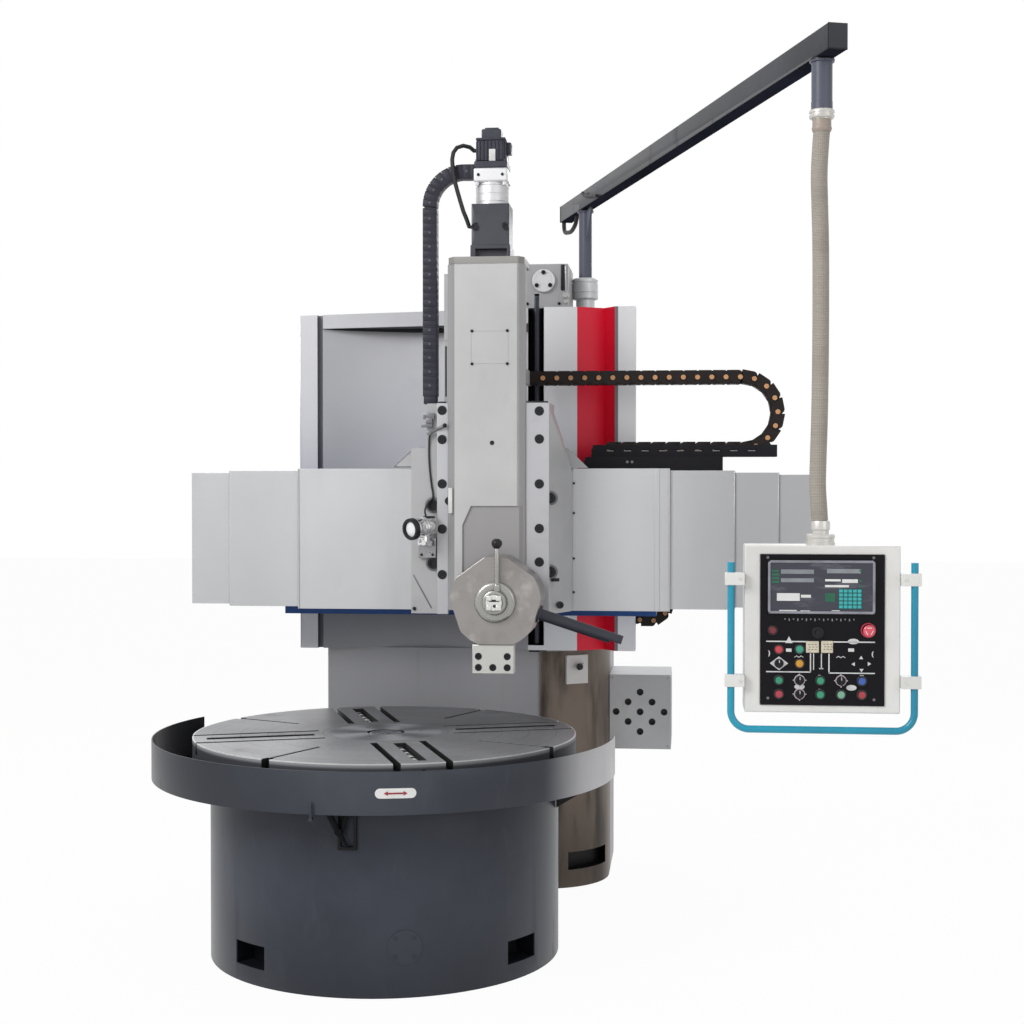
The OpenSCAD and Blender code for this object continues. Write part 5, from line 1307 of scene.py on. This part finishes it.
# grooved boring bar with its clamped tip
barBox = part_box("boring_bar")
refined("boring_bar", 0.0015, darkSteel)
tiltOut = Vector((cos(radians(-18)), 0, sin(radians(-18))))
barAt = Vector((turretAt.x, (barBox[0].y + barBox[1].y) / 2, turretAt.z))
bm = bmesh.new()
lathe(bm, barAt + tiltOut * 0.1495, tiltOut, [(0, 0.0212), (0, 0.033), (0.010, 0.033), (0.014, 0.030),
    (0.014, 0.0212), (0, 0.0212)], 40)
made = slab(bm, (0.432, -0.0225, -0.004), (0.452, -0.020, 0.003), 0.001, 1)
swung(bm, made, 18, barAt)
screwHead(bm, barAt + tiltOut * 0.43 + Vector((0, -0.0205, 0)), (0, -1, 0), 0.0055, 0.004)
piece("barTrim", bm, "turret", darkSteel)
# tool plate: five dark cap screws in counterbores
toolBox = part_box("tool_plate")
refined("tool_plate", 0.0022, metalLook("platePale", "d8d8d4", "bcbcb8", rough=0.34, along=(300, 300, 300),
    stain=0.12, metal=0.6))
bm = bmesh.new()
for x, z in ((-0.062, -0.042), (0.042, -0.042), (-0.062, -0.082), (-0.010, -0.082), (0.042, -0.082)):
    at = Vector((turretAt.x + x, toolBox[0].y + 0.0095, toolBox[1].z + z))
    screwHead(bm, at, (0, -1, 0), 0.0105, 0.009, 0.6)
    lathe(bm, at, (0, -1, 0), [(0, 0), (0, 0.0128), (0.0008, 0.0128), (0.0008, 0)], 24)
piece("plateScrews", bm, "turret", boltSteel)
print("turret dressed")

# lamp

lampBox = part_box("lamp_mount")
pin = Vector((gibBox[0].x - 0.039, 0.086, lampBox[0].z + 0.118))
aim = Vector((-0.5985, -0.7943, -0.1045)).normalized()
bm = bmesh.new()
lathe(bm, pin, aim, [(-0.040, 0), (-0.040, 0.028), (-0.036, 0.034), (-0.028, 0.036), (0.002, 0.036), (0.003, 0.033),
    (0.008, 0.033), (0.009, 0.036), (0.015, 0.036), (0.016, 0.033), (0.021, 0.033), (0.022, 0.036),
    (0.046, 0.036), (0.050, 0.0385), (0.054, 0.039), (0.060, 0.039), (0.060, 0)], 64)
piece("lampShell", bm, "lamp_head", chrome, ("lamp_head",))
bm = bmesh.new()
lathe(bm, pin, aim, [(0.059, 0.0295), (0.059, 0.0405), (0.074, 0.0405), (0.078, 0.038), (0.078, 0.030),
    (0.073, 0.0295), (0.059, 0.0295)], 64)
slab(bm, (-0.008, 0.010, 0.026), (0.034, 0.040, 0.040), 0.003, at=pin)
piece("lampRing", bm, "lamp_head", blackPlastic)
bm = bmesh.new()
lathe(bm, pin, aim, [(0.060, 0), (0.060, 0.0286), (0.068, 0.0286), (0.071, 0.024), (0.0735, 0.014), (0.0742, 0)], 48)
lampGlass = plasticLook("lampGlass", "f4f5f5", 0.15, 0.02, 0.92)
piece("lampLens", bm, "lamp_head", lampGlass)
# jointed arm that carries the lamp
bm = bmesh.new()
lathe(bm, pin + Vector((0, 0, -0.034)), (0, 0, 1), [(-0.035, 0), (-0.035, 0.011), (-0.03, 0.013), (-0.004, 0.013),
    (0, 0.011), (0.004, 0.009), (0.004, 0)], 28)
ball(bm, (lampBox[0].x + 0.016, lampBox[0].y + 0.012, lampBox[0].z + 0.056), 0.0125, 20)
piece("lampJoint", bm, "saddle", chrome)
refined("lamp_mount", 0.002, metalLook("mountSteel", "c4c4c6", "5c5c60", rough=0.3, along=(60, 60, 60), streak=0.5,
    stain=0.7, stainColour="2c2c30", metal=0.7))
bm = bmesh.new()
for x in (lampBox[0].x + 0.012, lampBox[1].x - 0.012):
    for z in (lampBox[0].z + 0.012, lampBox[0].z + 0.063):
        screwHead(bm, (x, lampBox[1].y - 0.02, z), (0, -1, 0), 0.005, 0.004)
piece("lampScrews", bm, "saddle", boltSteel)
print("lamp dressed")

# boom and hose

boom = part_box("boom")
boomSet = {"turn": 18.03, "half": 0.035, "pipe": 2.597, "past": 0.111, "back": 0.350}
boomTurn = radians(boomSet["turn"])
boomZ = boom[1].z - boomSet["half"]
ahead = Vector((sin(boomTurn), -cos(boomTurn), 0))
beside = Vector((cos(boomTurn), sin(boomTurn), 0))
pivot = Vector((postAt.x, postAt.y, 0))
made = manyLooks(refined("boom", 0.003, boomPaint, steps=3), paintLook("boomUnderShade", "2c2e3a", "22242e", rough=0.7,
    peel=0.1, dust=0.05, dustColour="3a3c48", shine=0.0))
for face in made.data.polygons:  # the undersides get a duller, darker copy of the paint: painted shade
    if face.normal.z < -0.9:
        face.material_index = 1
# darker cap plates on the boom's two ends, with their welds
bm = bmesh.new()
for reach, out in ((boomSet["pipe"] + boomSet["past"], 1), (-boomSet["back"], -1)):
    made = slab(bm, (-0.0285, -0.0006 if out > 0 else -0.0034, -0.036), (0.0285, 0.0034 if out > 0 else 0.0006,
        0.036), 0.0012, 2)
    laid(bm, made, pivot + ahead * (reach - 0.0015 * out) + Vector((0, 0, boomZ)), beside, -ahead, (0, 0, 1))
endPaint = paintLook("endPaint", "1d1c22", "15141a", rough=0.6, dust=0.04, dustColour="36363c", shine=0.1)
piece("boomCaps", bm, "boom", endPaint)
# weld beads round the post and the drop pipe
bm = bmesh.new()
postTop = boomZ - boomSet["half"]
lathe(bm, (pivot.x, pivot.y, postTop - 0.012), (0, 0, 1), [(0, 0.0275), (0, 0.034), (0.006, 0.036), (0.012, 0.034),
    (0.0135, 0.0275), (0, 0.0275)], 48)
pipeAt = pivot + ahead * boomSet["pipe"]
lathe(bm, (pipeAt.x, pipeAt.y, postTop - 0.010), (0, 0, 1), [(0, 0.0285), (0, 0.034), (0.005, 0.0355), (0.010, 0.034),
    (0.0115, 0.0285), (0, 0.0285)], 48)
piece("boomWelds", bm, "boom", boomPaint)
# black cable that hangs in a loop under the boom's back end
cableEnd = pivot - ahead * 0.33
curveTube("boomCable", [cableEnd + Vector((0, 0, boomZ + 0.0)),
    cableEnd - ahead * 0.045 + Vector((0, 0, boomZ - 0.012)), cableEnd - ahead * 0.05 + Vector((0, 0, boomZ - 0.06)),
    cableEnd + ahead * 0.02 + Vector((0, 0, boomZ - 0.085)),
    cableEnd + ahead * 0.13 + Vector((0, 0, boomZ - 0.078)),
    cableEnd + ahead * 0.18 + Vector((0, 0, boomZ - 0.045)),
    cableEnd + ahead * 0.185 + Vector((0, 0, boomZ - 0.028))], 0.0095, "boom", rubber)

# cable tied along the boom's side, near the post
curveTube("boomSideCable", [pivot + ahead * reach + beside * -0.0385 + Vector((0, 0, boomZ + rise)) for reach,
    rise in ((0.10, 0.022), (0.13, 0.004), (0.22, -0.012), (0.33, -0.030))], 0.0065, "boom", rubber)

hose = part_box("pendant_hose")
route = [(0, 0, 1.0), (-0.003, 0, 0.96), (-0.0065, 0.001, 0.89), (-0.005, 0.001, 0.82), (-0.002, 0.002, 0.72),
    (-0.001, 0.002, 0.60), (-0.001, 0.001, 0.48),
    (-0.002, 0, 0.36), (-0.004, -0.001, 0.25), (-0.007, -0.001, 0.15), (-0.008, -0.001, 0.09), (-0.004, 0, 0.03),
    (-0.002, 0, 0)]
hoseLow, hoseHigh = hose[0].z + 0.066, hose[1].z - 0.076
made = curveTube("hoseBraid", [(pipeAt.x + x, pipeAt.y + y, hoseLow + z * (hoseHigh - hoseLow)) for x, y, z in route],
    0.023, "pendant", braidedHose, sides=8)
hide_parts("pendant_hose")
bm = bmesh.new()
lathe(bm, (pipeAt.x, pipeAt.y, hose[1].z - 0.022), (0, 0, -1), [(0, 0), (0, 0.033), (0.003, 0.035), (0.008, 0.035),
    (0.010, 0.033), (0.014, 0.033), (0.016, 0.035), (0.020, 0.035), (0.023, 0.033), (0.023, 0.0265), (0.026, 0.0262),
    (0.026, 0)], 48)
lathe(bm, (pipeAt.x, pipeAt.y, hose[0].z), (0, 0, 1), [(0, 0), (0, 0.040), (0.006, 0.040), (0.008, 0.038),
    (0.018, 0.038), (0.020, 0.040), (0.026, 0.040), (0.029, 0.037), (0.029, 0.0235), (0.040, 0.0235), (0.042, 0.0265),
    (0.060, 0.0265), (0.066, 0.0245), (0.068, 0)], 48)
for x, y in around(6, 0.0315):
    screwHead(bm, (pipeAt.x + x, pipeAt.y + y, hose[0].z + 0.028), (0, 0, 1), 0.0035, 0.002)
grip = bmesh.new()
lathe(grip, (pipeAt.x, pipeAt.y, hose[1].z - 0.046), (0, 0, -1), [(0, 0), (0, 0.0258), (0.022, 0.0262),
    (0.024, 0.0275), (0.030, 0.0275), (0.032, 0.0262), (0.036, 0.0245), (0.036, 0)], 48)
piece("hoseGrip", grip, "pendant", metalLook("gripTan", "b3a59a", "95897f", rough=0.5, along=(300, 300, 300),
    stain=0.15, metal=0.1))
sleeve = bmesh.new()
lathe(sleeve, (pipeAt.x, pipeAt.y, hose[1].z), (0, 0, -1), [(0, 0), (0, 0.0298), (0.0225, 0.0298), (0.0225, 0)], 48)
piece("hoseSleeve", sleeve, "pendant", boomPaint)
piece("hoseFittings", bm, "pendant", metalLook("fittingWhite", "dcdad6", "c4c1bb", rough=0.32, along=(300, 300, 300),
    stain=0.08, metal=0.4))
print("boom and hose made")

# pendant

centreX, boxTop = (pendantBox[0].x + pendantBox[1].x) / 2, pendantBox[1].z
boxFoot, boxFront = pendantBox[0].z, pendantBox[0].y
panelFront, glassFront = panelBox[0].y + 0.014, panelBox[0].y
refined("pendant_box", 0.004, creamPaint, steps=3)
refined("pendant_panel", 0.0012, panelBlack)


def onPanel(x, z, lift=0.0002):
    # a point on the panel, in millimetres off the box's top centre
    return Vector((centreX + x / 1000, panelFront + lift, boxTop + z / 1000))


def mark(bm, x0, z0, x1, z1, face=None, thick=0.0006, edge=0.0):
    # a thin raised mark, from corners in millimetres off the box's top centre
    y = panelFront if face is None else face
    return slab(bm, (centreX + min(x0, x1) / 1000, y - thick, boxTop + min(z0, z1) / 1000),
        (centreX + max(x0, x1) / 1000, y + 0.0002, boxTop + max(z0, z1) / 1000), edge, 1)


def disc(bm, x, z, r, thick, face=None, sides=28):
    y = panelFront if face is None else face
    return lathe(bm, (centreX + x / 1000, y + 0.0003, boxTop + z / 1000), (0, -1, 0),
        [(0, 0), (0, r / 1000), (thick * 0.7, r / 1000), (thick, r / 1000 * 0.9), (thick, 0)], sides)


# readout: frame, smoky glass with painted streaks of reflection, bars and keypad
glassLook = Look("glassSmoke", Specular_IOR_Level=0.4)
glassGlare = glassLook.step(glassLook.noise(1.0, 5, glassLook.stretched((9, 9, 34), (0, 0.35, 0))), 0.5, 0.8)
glassLook = glassLook.finish(glassLook.mix(glassGlare * 0.5, "3c3d48", "8e8f99"), 0.25 + glassGlare * 0.15,
    (glassGlare, 0.05, 0.0003))
readout = {"left": -148, "right": 141, "top": -40, "low": -186, "frame": 7}
bm = bmesh.new()
left, right, top, low, edge = (readout[k] for k in ("left", "right", "top", "low", "frame"))
for a, b in (((left, top), (right, top - edge)), ((left, low + edge), (right, low)),
        ((left, top), (left + edge, low)), ((right - edge, top), (right, low))):
    mark(bm, a[0], a[1], b[0], b[1], glassFront, 0.0035, 0.0014)
for x in (left + 5, right - 5):
    for z in (top - 5, low + 5):
        disc(bm, x, z, 3.4, 0.0045, glassFront, 16)
piece("readoutFrame", bm, "pendant", plasticLook("frameSmoke", "9b9ca6", 0.3, 0.2, 0.6))
bm = bmesh.new()
mark(bm, left + 2, top - 2, right - 2, low + 2, glassFront, 0.0005)
piece("readoutGlass", bm, "pendant", glassLook)
bm = bmesh.new()
for box in ((-113, -65, -24, -77), (-113, -89, -24, -100), (11, -63, 102, -75)):
    mark(bm, *box, glassFront, 0.0012, 0.0004)
piece("readoutBars", bm, "pendant", plasticLook("barGrey", "8f9499", 0.35, 0.03, 0.75))
bm = bmesh.new()
for box in ((6, -91, 48, -97), (52, -91, 94, -101), (6, -107, 70, -113), (-124, -130, -62, -151),
        (-59, -134, -32, -142), (-118, -176, -70, -179), (-60, -177, -34, -179), (24, -176, 46, -178)):
    mark(bm, *box, glassFront, 0.0012, 0.0004)
piece("readoutWhite", bm, "pendant", markWhite)
bm = bmesh.new()
for z in (-66, -76, -86, -96):
    mark(bm, -138, z, -118, z - 6, glassFront, 0.0012)
mark(bm, 6, -129, 33, -153, glassFront, 0.0010, 0.0004)
for z in (-64, -92, -107):
    mark(bm, 98, z, 104, z - 7, glassFront, 0.0013)
piece("readoutGreen", bm, "pendant", plasticLook("dimGreen", "1f6b4d", 0.4, 0.03, 0.7))
bm = bmesh.new()
for i in range(5):
    for j in range(5):
        mark(bm, 43.8 + i * 12.4, -119 - j * 10.8, 54 + i * 12.4, -127.4 - j * 10.8, glassFront, 0.0022, 0.0007)
piece("readoutKeys", bm, "pendant", plasticLook("keyTeal", "3fb5b5", 0.35, 0.03, 0.8))
bm = bmesh.new()
mark(bm, 42, -117, 106, -173, glassFront, 0.0008, 0.0003)
piece("keyBed", bm, "pendant", plasticLook("keyBed", "17494b", 0.4))

# row of short marks under the readout, dial, lines and legends
bm = bmesh.new()
for k in range(17):
    x = -101 + 186 / 16 * k
    mark(bm, x - 1.6, -200, x + 1.6, -207 if k % 2 else -204)
piece("scaleMarks", bm, "pendant", plasticLook("markGrey", "8d9096", 0.45, 0.03))
bm = bmesh.new()
lines = ((-152, -262, -44, -265.4), (29, -262, 142, -265.4), (-152, -345.6, -30, -348.8), (-33.2, -296, -30, -348),
    (16.8, -296, 20, -350), (17, -347.4, 142, -350.6),
    (-24.5, -296, -22, -341), (-3.4, -296, -0.8, -338), (-8, -336, 3, -338.6))
for line in lines:
    mark(bm, *line)
# triangle label, oval, moons, zigzags and arrows
outline(bm, [onPanel(-100, -268), onPanel(-80, -268), onPanel(-90, -250)], (0, -0.0009, 0))
oval = disc(bm, 84, -262, 15, 0.0009)
bmesh.ops.scale(bm, vec=(1, 1, 0.5), space=Matrix.Translation((-centreX - 0.084, 0, -boxTop + 0.262)), verts=oval)
for x, side in ((-147, 1), (139, -1)):
    rim = [onPanel(x + side * 5.5 * cos(t), -297 + 9 * sin(t)) for t in [radians(-80 + 20 * k) for k in range(9)]]
    rim += [onPanel(x + side * 2.6 * cos(t), -297 + 8.2 * sin(t)) for t in [radians(80 - 20 * k) for k in range(9)]]
    outline(bm, rim, (0, -0.0008, 0))
for x in (-63, 50):
    for k in range(4):
        up = k % 2
        a = (x - 12 + 6 * k, -307 + 4 * up)
        b = (x - 6 + 6 * k, -303 - 4 * up)
        outline(bm, [onPanel(a[0], a[1] + 1), onPanel(b[0], b[1] + 1), onPanel(b[0], b[1] - 1),
            onPanel(a[0], a[1] - 1)], (0, -0.0008, 0))
for x, z, turn in ((105, -307, 90), (85, -324, 180), (126, -323, 0), (106, -340, 270)):
    way = Vector((cos(radians(turn)), 0, sin(radians(turn))))
    side = Vector((-way.z, 0, way.x))
    at = onPanel(x, z)
    outline(bm, [at + way * 0.006, at + side * 0.0055 - way * 0.003, at - side * 0.0055 - way * 0.003],
        (0, -0.0009, 0))
for box in ((-98, -283, -83, -292), (70, -281, 86, -290), (-10, -354.5, -4, -358.5), (-10, -393, -4, -397),
        (-66, -354, -60, -359), (47, -354, 54, -359), (102, -354, 112, -359), (-66, -403, -60, -408)):
    mark(bm, *box)
for x, z in ((-61, -388), (79, -389)):
    label = disc(bm, x, z, 14, 0.0009)
    bmesh.ops.scale(bm, vec=(1, 1, 0.55), space=Matrix.Translation((-centreX - x / 1000, 0, -boxTop - z / 1000)),
        verts=label)
piece("panelLines", bm, "pendant", plasticLook("lineGrey", "dcdedd", 0.45, 0.04, 0.85))
bm = bmesh.new()
for box in ((-44, -262, -9, -294), (-3, -261, 29, -294)):
    mark(bm, *box, None, 0.003, 0.0012)
piece("creamLegends", bm, "pendant", plasticLook("legendCream", "d8d0ba", 0.45))
bm = bmesh.new()
for x0, z0 in ((-44, -262), (-3, -261)):
    for row in range(3):
        for k in range(3):
            x = x0 + 6 + 9 * k + (row % 2) * 2
            mark(bm, x, z0 - 8 - 7 * row, x + 5, z0 - 10 - 7 * row, panelFront - 0.003, 0.0004)
piece("legendMarks", bm, "pendant", plasticLook("legendInk", "7b6c5a", 0.5))
print("pendant marks made")

# pilot lamps with their rings, and rings of the dials
pilots = ((-117, -286, "c8434f", "pilotRed"), (-61, -285, "3f9f84", "pilotGreen"),
    (-61, -324, "e2a63a", "pilotYellow"), (-134, -233, "7c2f38", "pilotDim"))
for x, z, colour, name in pilots:
    bm = bmesh.new()
    at = onPanel(x, z, 0.0003)
    lathe(bm, at, (0, -1, 0), [(0, 0), (0, 0.0112), (0.005, 0.0108), (0.008, 0.0085), (0.0092, 0.004), (0.0094, 0)],
        32)
    piece(name, bm, "pendant", plasticLook(name, colour, 0.22, 0.02, 0.7))
bm = bmesh.new()
for x, z in [(p[0], p[1]) for p in pilots]:
    lathe(bm, onPanel(x, z, 0.0003), (0, -1, 0), [(0, 0.0112), (0, 0.0142), (0.003, 0.0140), (0.004, 0.0130),
        (0.004, 0.0112), (0, 0.0112)], 32)
for name in ("button_start", "button_stop", "button_up", "button_down", "button_oil", "button_jog", "button_reset"):
    x, z = middle(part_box(name))[::2]
    lathe(bm, (x, panelFront + 0.0003, z), (0, -1, 0), [(0, 0.0100), (0, 0.0148), (0.0025, 0.0146), (0.0036, 0.0135),
        (0.0036, 0.0100), (0, 0.0100)], 32)
piece("keyRings", bm, "pendant", plasticLook("ringBlack", "26262b", 0.3, 0.03))
# dead dial in the middle and the panel's corner screws
bm = bmesh.new()
lathe(bm, onPanel(-12, -238, 0.0003), (0, -1, 0), [(0, 0), (0, 0.017), (0.004, 0.017), (0.006, 0.015), (0.006, 0.008),
    (0.014, 0.007), (0.014, 0)], 36)
piece("dialKnob", bm, "pendant", blackPlastic)
bm = bmesh.new()
for x, z in ((-147, -420), (140, -421), (-148, -33), (138, -33)):
    screwHead(bm, onPanel(x, z, 0), (0, -1, 0), 0.0038, 0.0014)
piece("panelScrews", bm, "pendant", rimSteel)

# push buttons as crowned caps on their collars
for name, look in (("button_start", greenPlastic), ("button_up", greenPlastic), ("button_down", greenPlastic),
        ("button_stop", redPlastic), ("button_reset", plasticLook("capRust", "b8434a", 0.25, 0.03)),
        ("button_oil", bluePlastic), ("button_jog", paleGreen)):
    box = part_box(name)
    x, z = middle(box)[::2]
    r = (box[1].x - box[0].x) / 2
    bm = bmesh.new()
    lathe(bm, (x, box[1].y, z), (0, -1, 0), [(0, 0), (0, 0.0078), (box[1].y - panelFront + 0.004, 0.0078),
        (box[1].y - panelFront + 0.0045, r - 0.003), (box[1].y - box[0].y - 0.0035, r - 0.0018),
        (box[1].y - box[0].y - 0.001, r - 0.003),
        (box[1].y - box[0].y, r - 0.0055), (box[1].y - box[0].y - 0.0007,
        r - 0.009), (box[1].y - box[0].y - 0.0009, 0)], 40)
    piece(name + "Cap", bm, nodes[name]["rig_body"], look, (name,))
for name in ("selector_mode", "selector_feed", "selector_speed", "selector_axis"):
    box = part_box(name)
    x, z = middle(box)[::2]
    bm = bmesh.new()
    lathe(bm, (x, box[1].y, z), (0, -1, 0), [(0, 0), (0, 0.0078), (box[1].y - panelFront + 0.0002, 0.0078),
        (box[1].y - panelFront + 0.0004, 0.0128), (box[1].y - panelFront + 0.006, 0.0122),
        (box[1].y - panelFront + 0.0075, 0.0105), (box[1].y - panelFront + 0.0075, 0)], 40)
    slab(bm, (x - 0.0036, box[0].y, z - 0.0118), (x + 0.0036, panelFront - 0.006, z + 0.0118), 0.0014, 2)
    tint(slab(bm, (x - 0.0008, box[0].y - 0.0002, z + 0.003), (x + 0.0008, box[0].y + 0.001, z + 0.0112)), 1)
    manyLooks(piece(name + "Knob", bm, nodes[name]["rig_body"], blackPlastic, (name,)), markWhite)
# light rings round the dark selectors
bm = bmesh.new()
for name in ("selector_feed", "selector_speed", "selector_axis"):
    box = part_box(name)
    x, z = middle(box)[::2]
    lathe(bm, (x, panelFront + 0.0003, z), (0, -1, 0), [(0, 0.0105), (0, 0.0152), (0.0012, 0.0150), (0.0018, 0.0142),
        (0.0018, 0.0118), (0.0012, 0.0105), (0, 0.0105)], 36)
    for aside, rise in around(4, 0.0168):
        slab(bm, (-0.0016, -0.0008, -0.0016), (0.0016, 0.0003, 0.0016), at=(x + aside, panelFront, z + rise))
piece("selectorRings", bm, "pendant", plasticLook("ringPale", "d3c3c8", 0.4, 0.05))
# diamond plate behind the mode selector
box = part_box("selector_mode")
x, z = middle(box)[::2]
bm = bmesh.new()
outline(bm, [(x - 0.025, panelFront + 0.0002, z), (x, panelFront + 0.0002, z - 0.019),
    (x + 0.025, panelFront + 0.0002, z), (x, panelFront + 0.0002, z + 0.019)], (0, -0.0010, 0))
piece("diamondPlate", bm, "pendant", plasticLook("diamondWhite", "e2e3e2", 0.4))
# mushroom stop inside its red collar
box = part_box("emergency_stop")
x, z = middle(box)[::2]
deep = box[1].y - panelFront
whole = box[1].y - box[0].y
bm = bmesh.new()
lathe(bm, (x, box[1].y, z), (0, -1, 0), [(0, 0), (0, 0.0098), (deep + 0.012, 0.0098), (deep + 0.014, 0.0145),
    (whole - 0.009, 0.0165), (whole - 0.004, 0.016), (whole - 0.001, 0.012), (whole, 0.006), (whole, 0)], 48)
piece("stopHead", bm, nodes["emergency_stop"]["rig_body"], pinkPlastic, ("emergency_stop",))
bm = bmesh.new()
for k in range(3):
    turn = radians(120 * k + 90)
    made = slab(bm, (-0.006, -0.0004, -0.001), (0.006, 0.0004, 0.001))
    swung(bm, made, -120 * k, (x + 0.0085 * cos(turn), box[0].y + 0.0007, z + 0.0085 * sin(turn)))
piece("stopMarks", bm, nodes["emergency_stop"]["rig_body"], markWhite)
bm = bmesh.new()
lathe(bm, (x, panelFront + 0.0003, z), (0, -1, 0), [(0, 0.0173), (0, 0.0205), (0.003, 0.0205), (0.0045, 0.0195),
    (0.0045, 0.0173), (0, 0.0173)], 40)
piece("stopCollar", bm, "pendant", redPlastic)


def handleLook(p):
    # tube in blue, its four clamps in the box's cream
    look = Look("handlePaint", Coat_Weight=0.15, Coat_Roughness=0.15)
    x, y, z = look.axes()
    cloud = look.noise(3, 4)
    clamp = look.band(z, p["lowClamp"] - p["half"], p["lowClamp"] + p["half"]) + look.band(z,
        p["highClamp"] - p["half"], p["highClamp"] + p["half"])
    blue = look.mix(look.step(cloud, 0.3, 0.7), p["deep"], p["blue"])
    cream = look.mix(look.step(cloud, 0.3, 0.7), p["creamDark"], p["cream"])
    return look.finish(look.mix(clamp, blue, cream), 0.28 + cloud * 0.08 + clamp * 0.1, (look.noise(300, 2), 0.05,
        0.0004))


clampAt = (boxTop - 0.092, boxFoot + 0.088)
handlePaint = handleLook({"highClamp": clampAt[0], "lowClamp": clampAt[1], "half": 0.0175, "blue": "169bb8",
    "deep": "0f84a2", "cream": "e6e6e3", "creamDark": "dadad7"})
refined("pendant_handle", 0.0015, handlePaint)
bm = bmesh.new()
for z in clampAt:
    for side in (-1, 1):
        x = centreX + side * (pendantBox[1].x - pendantBox[0].x) / 2 + side * 0.012
        screwHead(bm, (x, boxFront - 0.0199, z), (0, -1, 0), 0.0045, 0.002)
piece("clampScrews", bm, "pendant", creamPaint)
# rear door of the box: seam, hinges and a latch
backY = pendantBox[1].y
bm = bmesh.new()
left, right = pendantBox[0].x + 0.018, pendantBox[1].x - 0.018
slab(bm, (left, backY - 0.001, boxFoot + 0.018), (right, backY + 0.0018, boxTop - 0.018), 0.0012)
for z in (boxFoot + 0.09, boxTop - 0.09):
    rod(bm, (left - 0.004, backY + 0.003, z - 0.022), (left - 0.004, backY + 0.003, z + 0.022), 0.005, 14)
lathe(bm, (right - 0.02, backY + 0.001, (boxFoot + boxTop) / 2), (0, 1, 0), [(0, 0), (0, 0.012), (0.003, 0.012),
    (0.004, 0.010), (0.004, 0)], 28)
piece("pendantDoor", bm, "pendant", creamPaint)
print("pendant dressed")


# studio

cameraSet = {"place": (1.096, -5.978, 1.71), "turn": 6.0, "dip": 1.042, "lens": 57.97}
eye = bpy.data.cameras.new("eye")
eye.lens = cameraSet["lens"]
eye.sensor_width = 36
eye.clip_end = 100
eyeObject = bpy.data.objects.new("eye", eye)
eyeObject.location = cameraSet["place"]
eyeObject.rotation_euler = (radians(90 - cameraSet["dip"]), 0, radians(cameraSet["turn"]))
bpy.context.scene.collection.objects.link(eyeObject)
bpy.context.scene.camera = eyeObject

lampSet = {
    "keyLamp": {"place": (-3.6, -5.2, 5.2), "aim": (0.3, 0.2, 1.4), "size": 3.2, "power": 300},
    "fillLamp": {"place": (5.2, -4.6, 3.0), "aim": (0.5, 0.0, 1.2), "size": 3.0, "power": 42},
    "backLamp": {"place": (1.5, 5.5, 4.6), "aim": (0.4, 0.8, 1.5), "size": 3.0, "power": 90},
}
for name, p in lampSet.items():
    lamp = bpy.data.lights.new(name, "AREA")
    lamp.size = p["size"]
    lamp.energy = p["power"]
    lampObject = bpy.data.objects.new(name, lamp)
    lampObject.location = p["place"]
    lampObject.rotation_euler = (Vector(p["aim"]) - Vector(p["place"])).to_track_quat("-Z", "Y").to_euler()
    bpy.context.scene.collection.objects.link(lampObject)

worldSet = {"soft": 0.5, "white": 1.0}
world = bpy.data.worlds.new("studio")
bpy.context.scene.world = world
world.use_nodes = True
tree = world.node_tree
tree.nodes.clear()
path = tree.nodes.new("ShaderNodeLightPath")
seen = tree.nodes.new("ShaderNodeMath")
seen.operation = "MAXIMUM"
tree.links.new(path.outputs["Is Camera Ray"], seen.inputs[0])
clear = tree.nodes.new("ShaderNodeMath")
clear.operation = "MAXIMUM"
tree.links.new(path.outputs["Is Glossy Ray"], clear.inputs[0])
tree.links.new(path.outputs["Is Transmission Ray"], clear.inputs[1])
tree.links.new(clear.outputs[0], seen.inputs[1])
level = tree.nodes.new("ShaderNodeMapRange")
level.inputs["To Min"].default_value = worldSet["soft"]
level.inputs["To Max"].default_value = worldSet["white"]
tree.links.new(seen.outputs[0], level.inputs["Value"])
sky = tree.nodes.new("ShaderNodeBackground")
sky.inputs["Color"].default_value = (1, 1, 1, 1)
tree.links.new(level.outputs[0], sky.inputs["Strength"])
out = tree.nodes.new("ShaderNodeOutputWorld")
tree.links.new(sky.outputs[0], out.inputs[0])

floorSet = {"size": 60, "shown": 0.96}
bm = bmesh.new()
bmesh.ops.create_grid(bm, x_segments=1, y_segments=1, size=floorSet["size"] / 2)
bmesh.ops.translate(bm, vec=(0, 0, cadBox[0].z - 0.0005), verts=bm.verts)
floorLook = Look("floorPale", Specular_IOR_Level=0.1)
soft = floorLook.noise(3, 3)
floorLook.finish(floorLook.mix(soft, (0.84, 0.84, 0.84, 1), (0.88, 0.88, 0.88, 1)), 0.8)
rays = floorLook.tree.nodes.new("ShaderNodeLightPath")
glow = floorLook.node("ShaderNodeEmission", None, {"Color": (1, 1, 1, 1), "Strength": 1.0})
seenHere = Wire(floorLook, rays.outputs["Is Camera Ray"]) + Wire(floorLook,
    rays.outputs["Is Glossy Ray"]) + Wire(floorLook, rays.outputs["Is Transmission Ray"])
blend = floorLook.tree.nodes.new("ShaderNodeMixShader")
floorLook.feed(blend, 0, seenHere * floorSet["shown"])
floorLook.tree.links.new(floorLook.skin.outputs[0], blend.inputs[1])
floorLook.tree.links.new(glow.socket, blend.inputs[2])
end = next(n for n in floorLook.tree.nodes if n.type == "OUTPUT_MATERIAL")
floorLook.tree.links.new(blend.outputs[0], end.inputs[0])
floor = piece("floor", bm, None, floorLook.material)
floor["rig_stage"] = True

bpy.context.scene.view_settings.view_transform = "Standard"
print("studio set")

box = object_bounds()
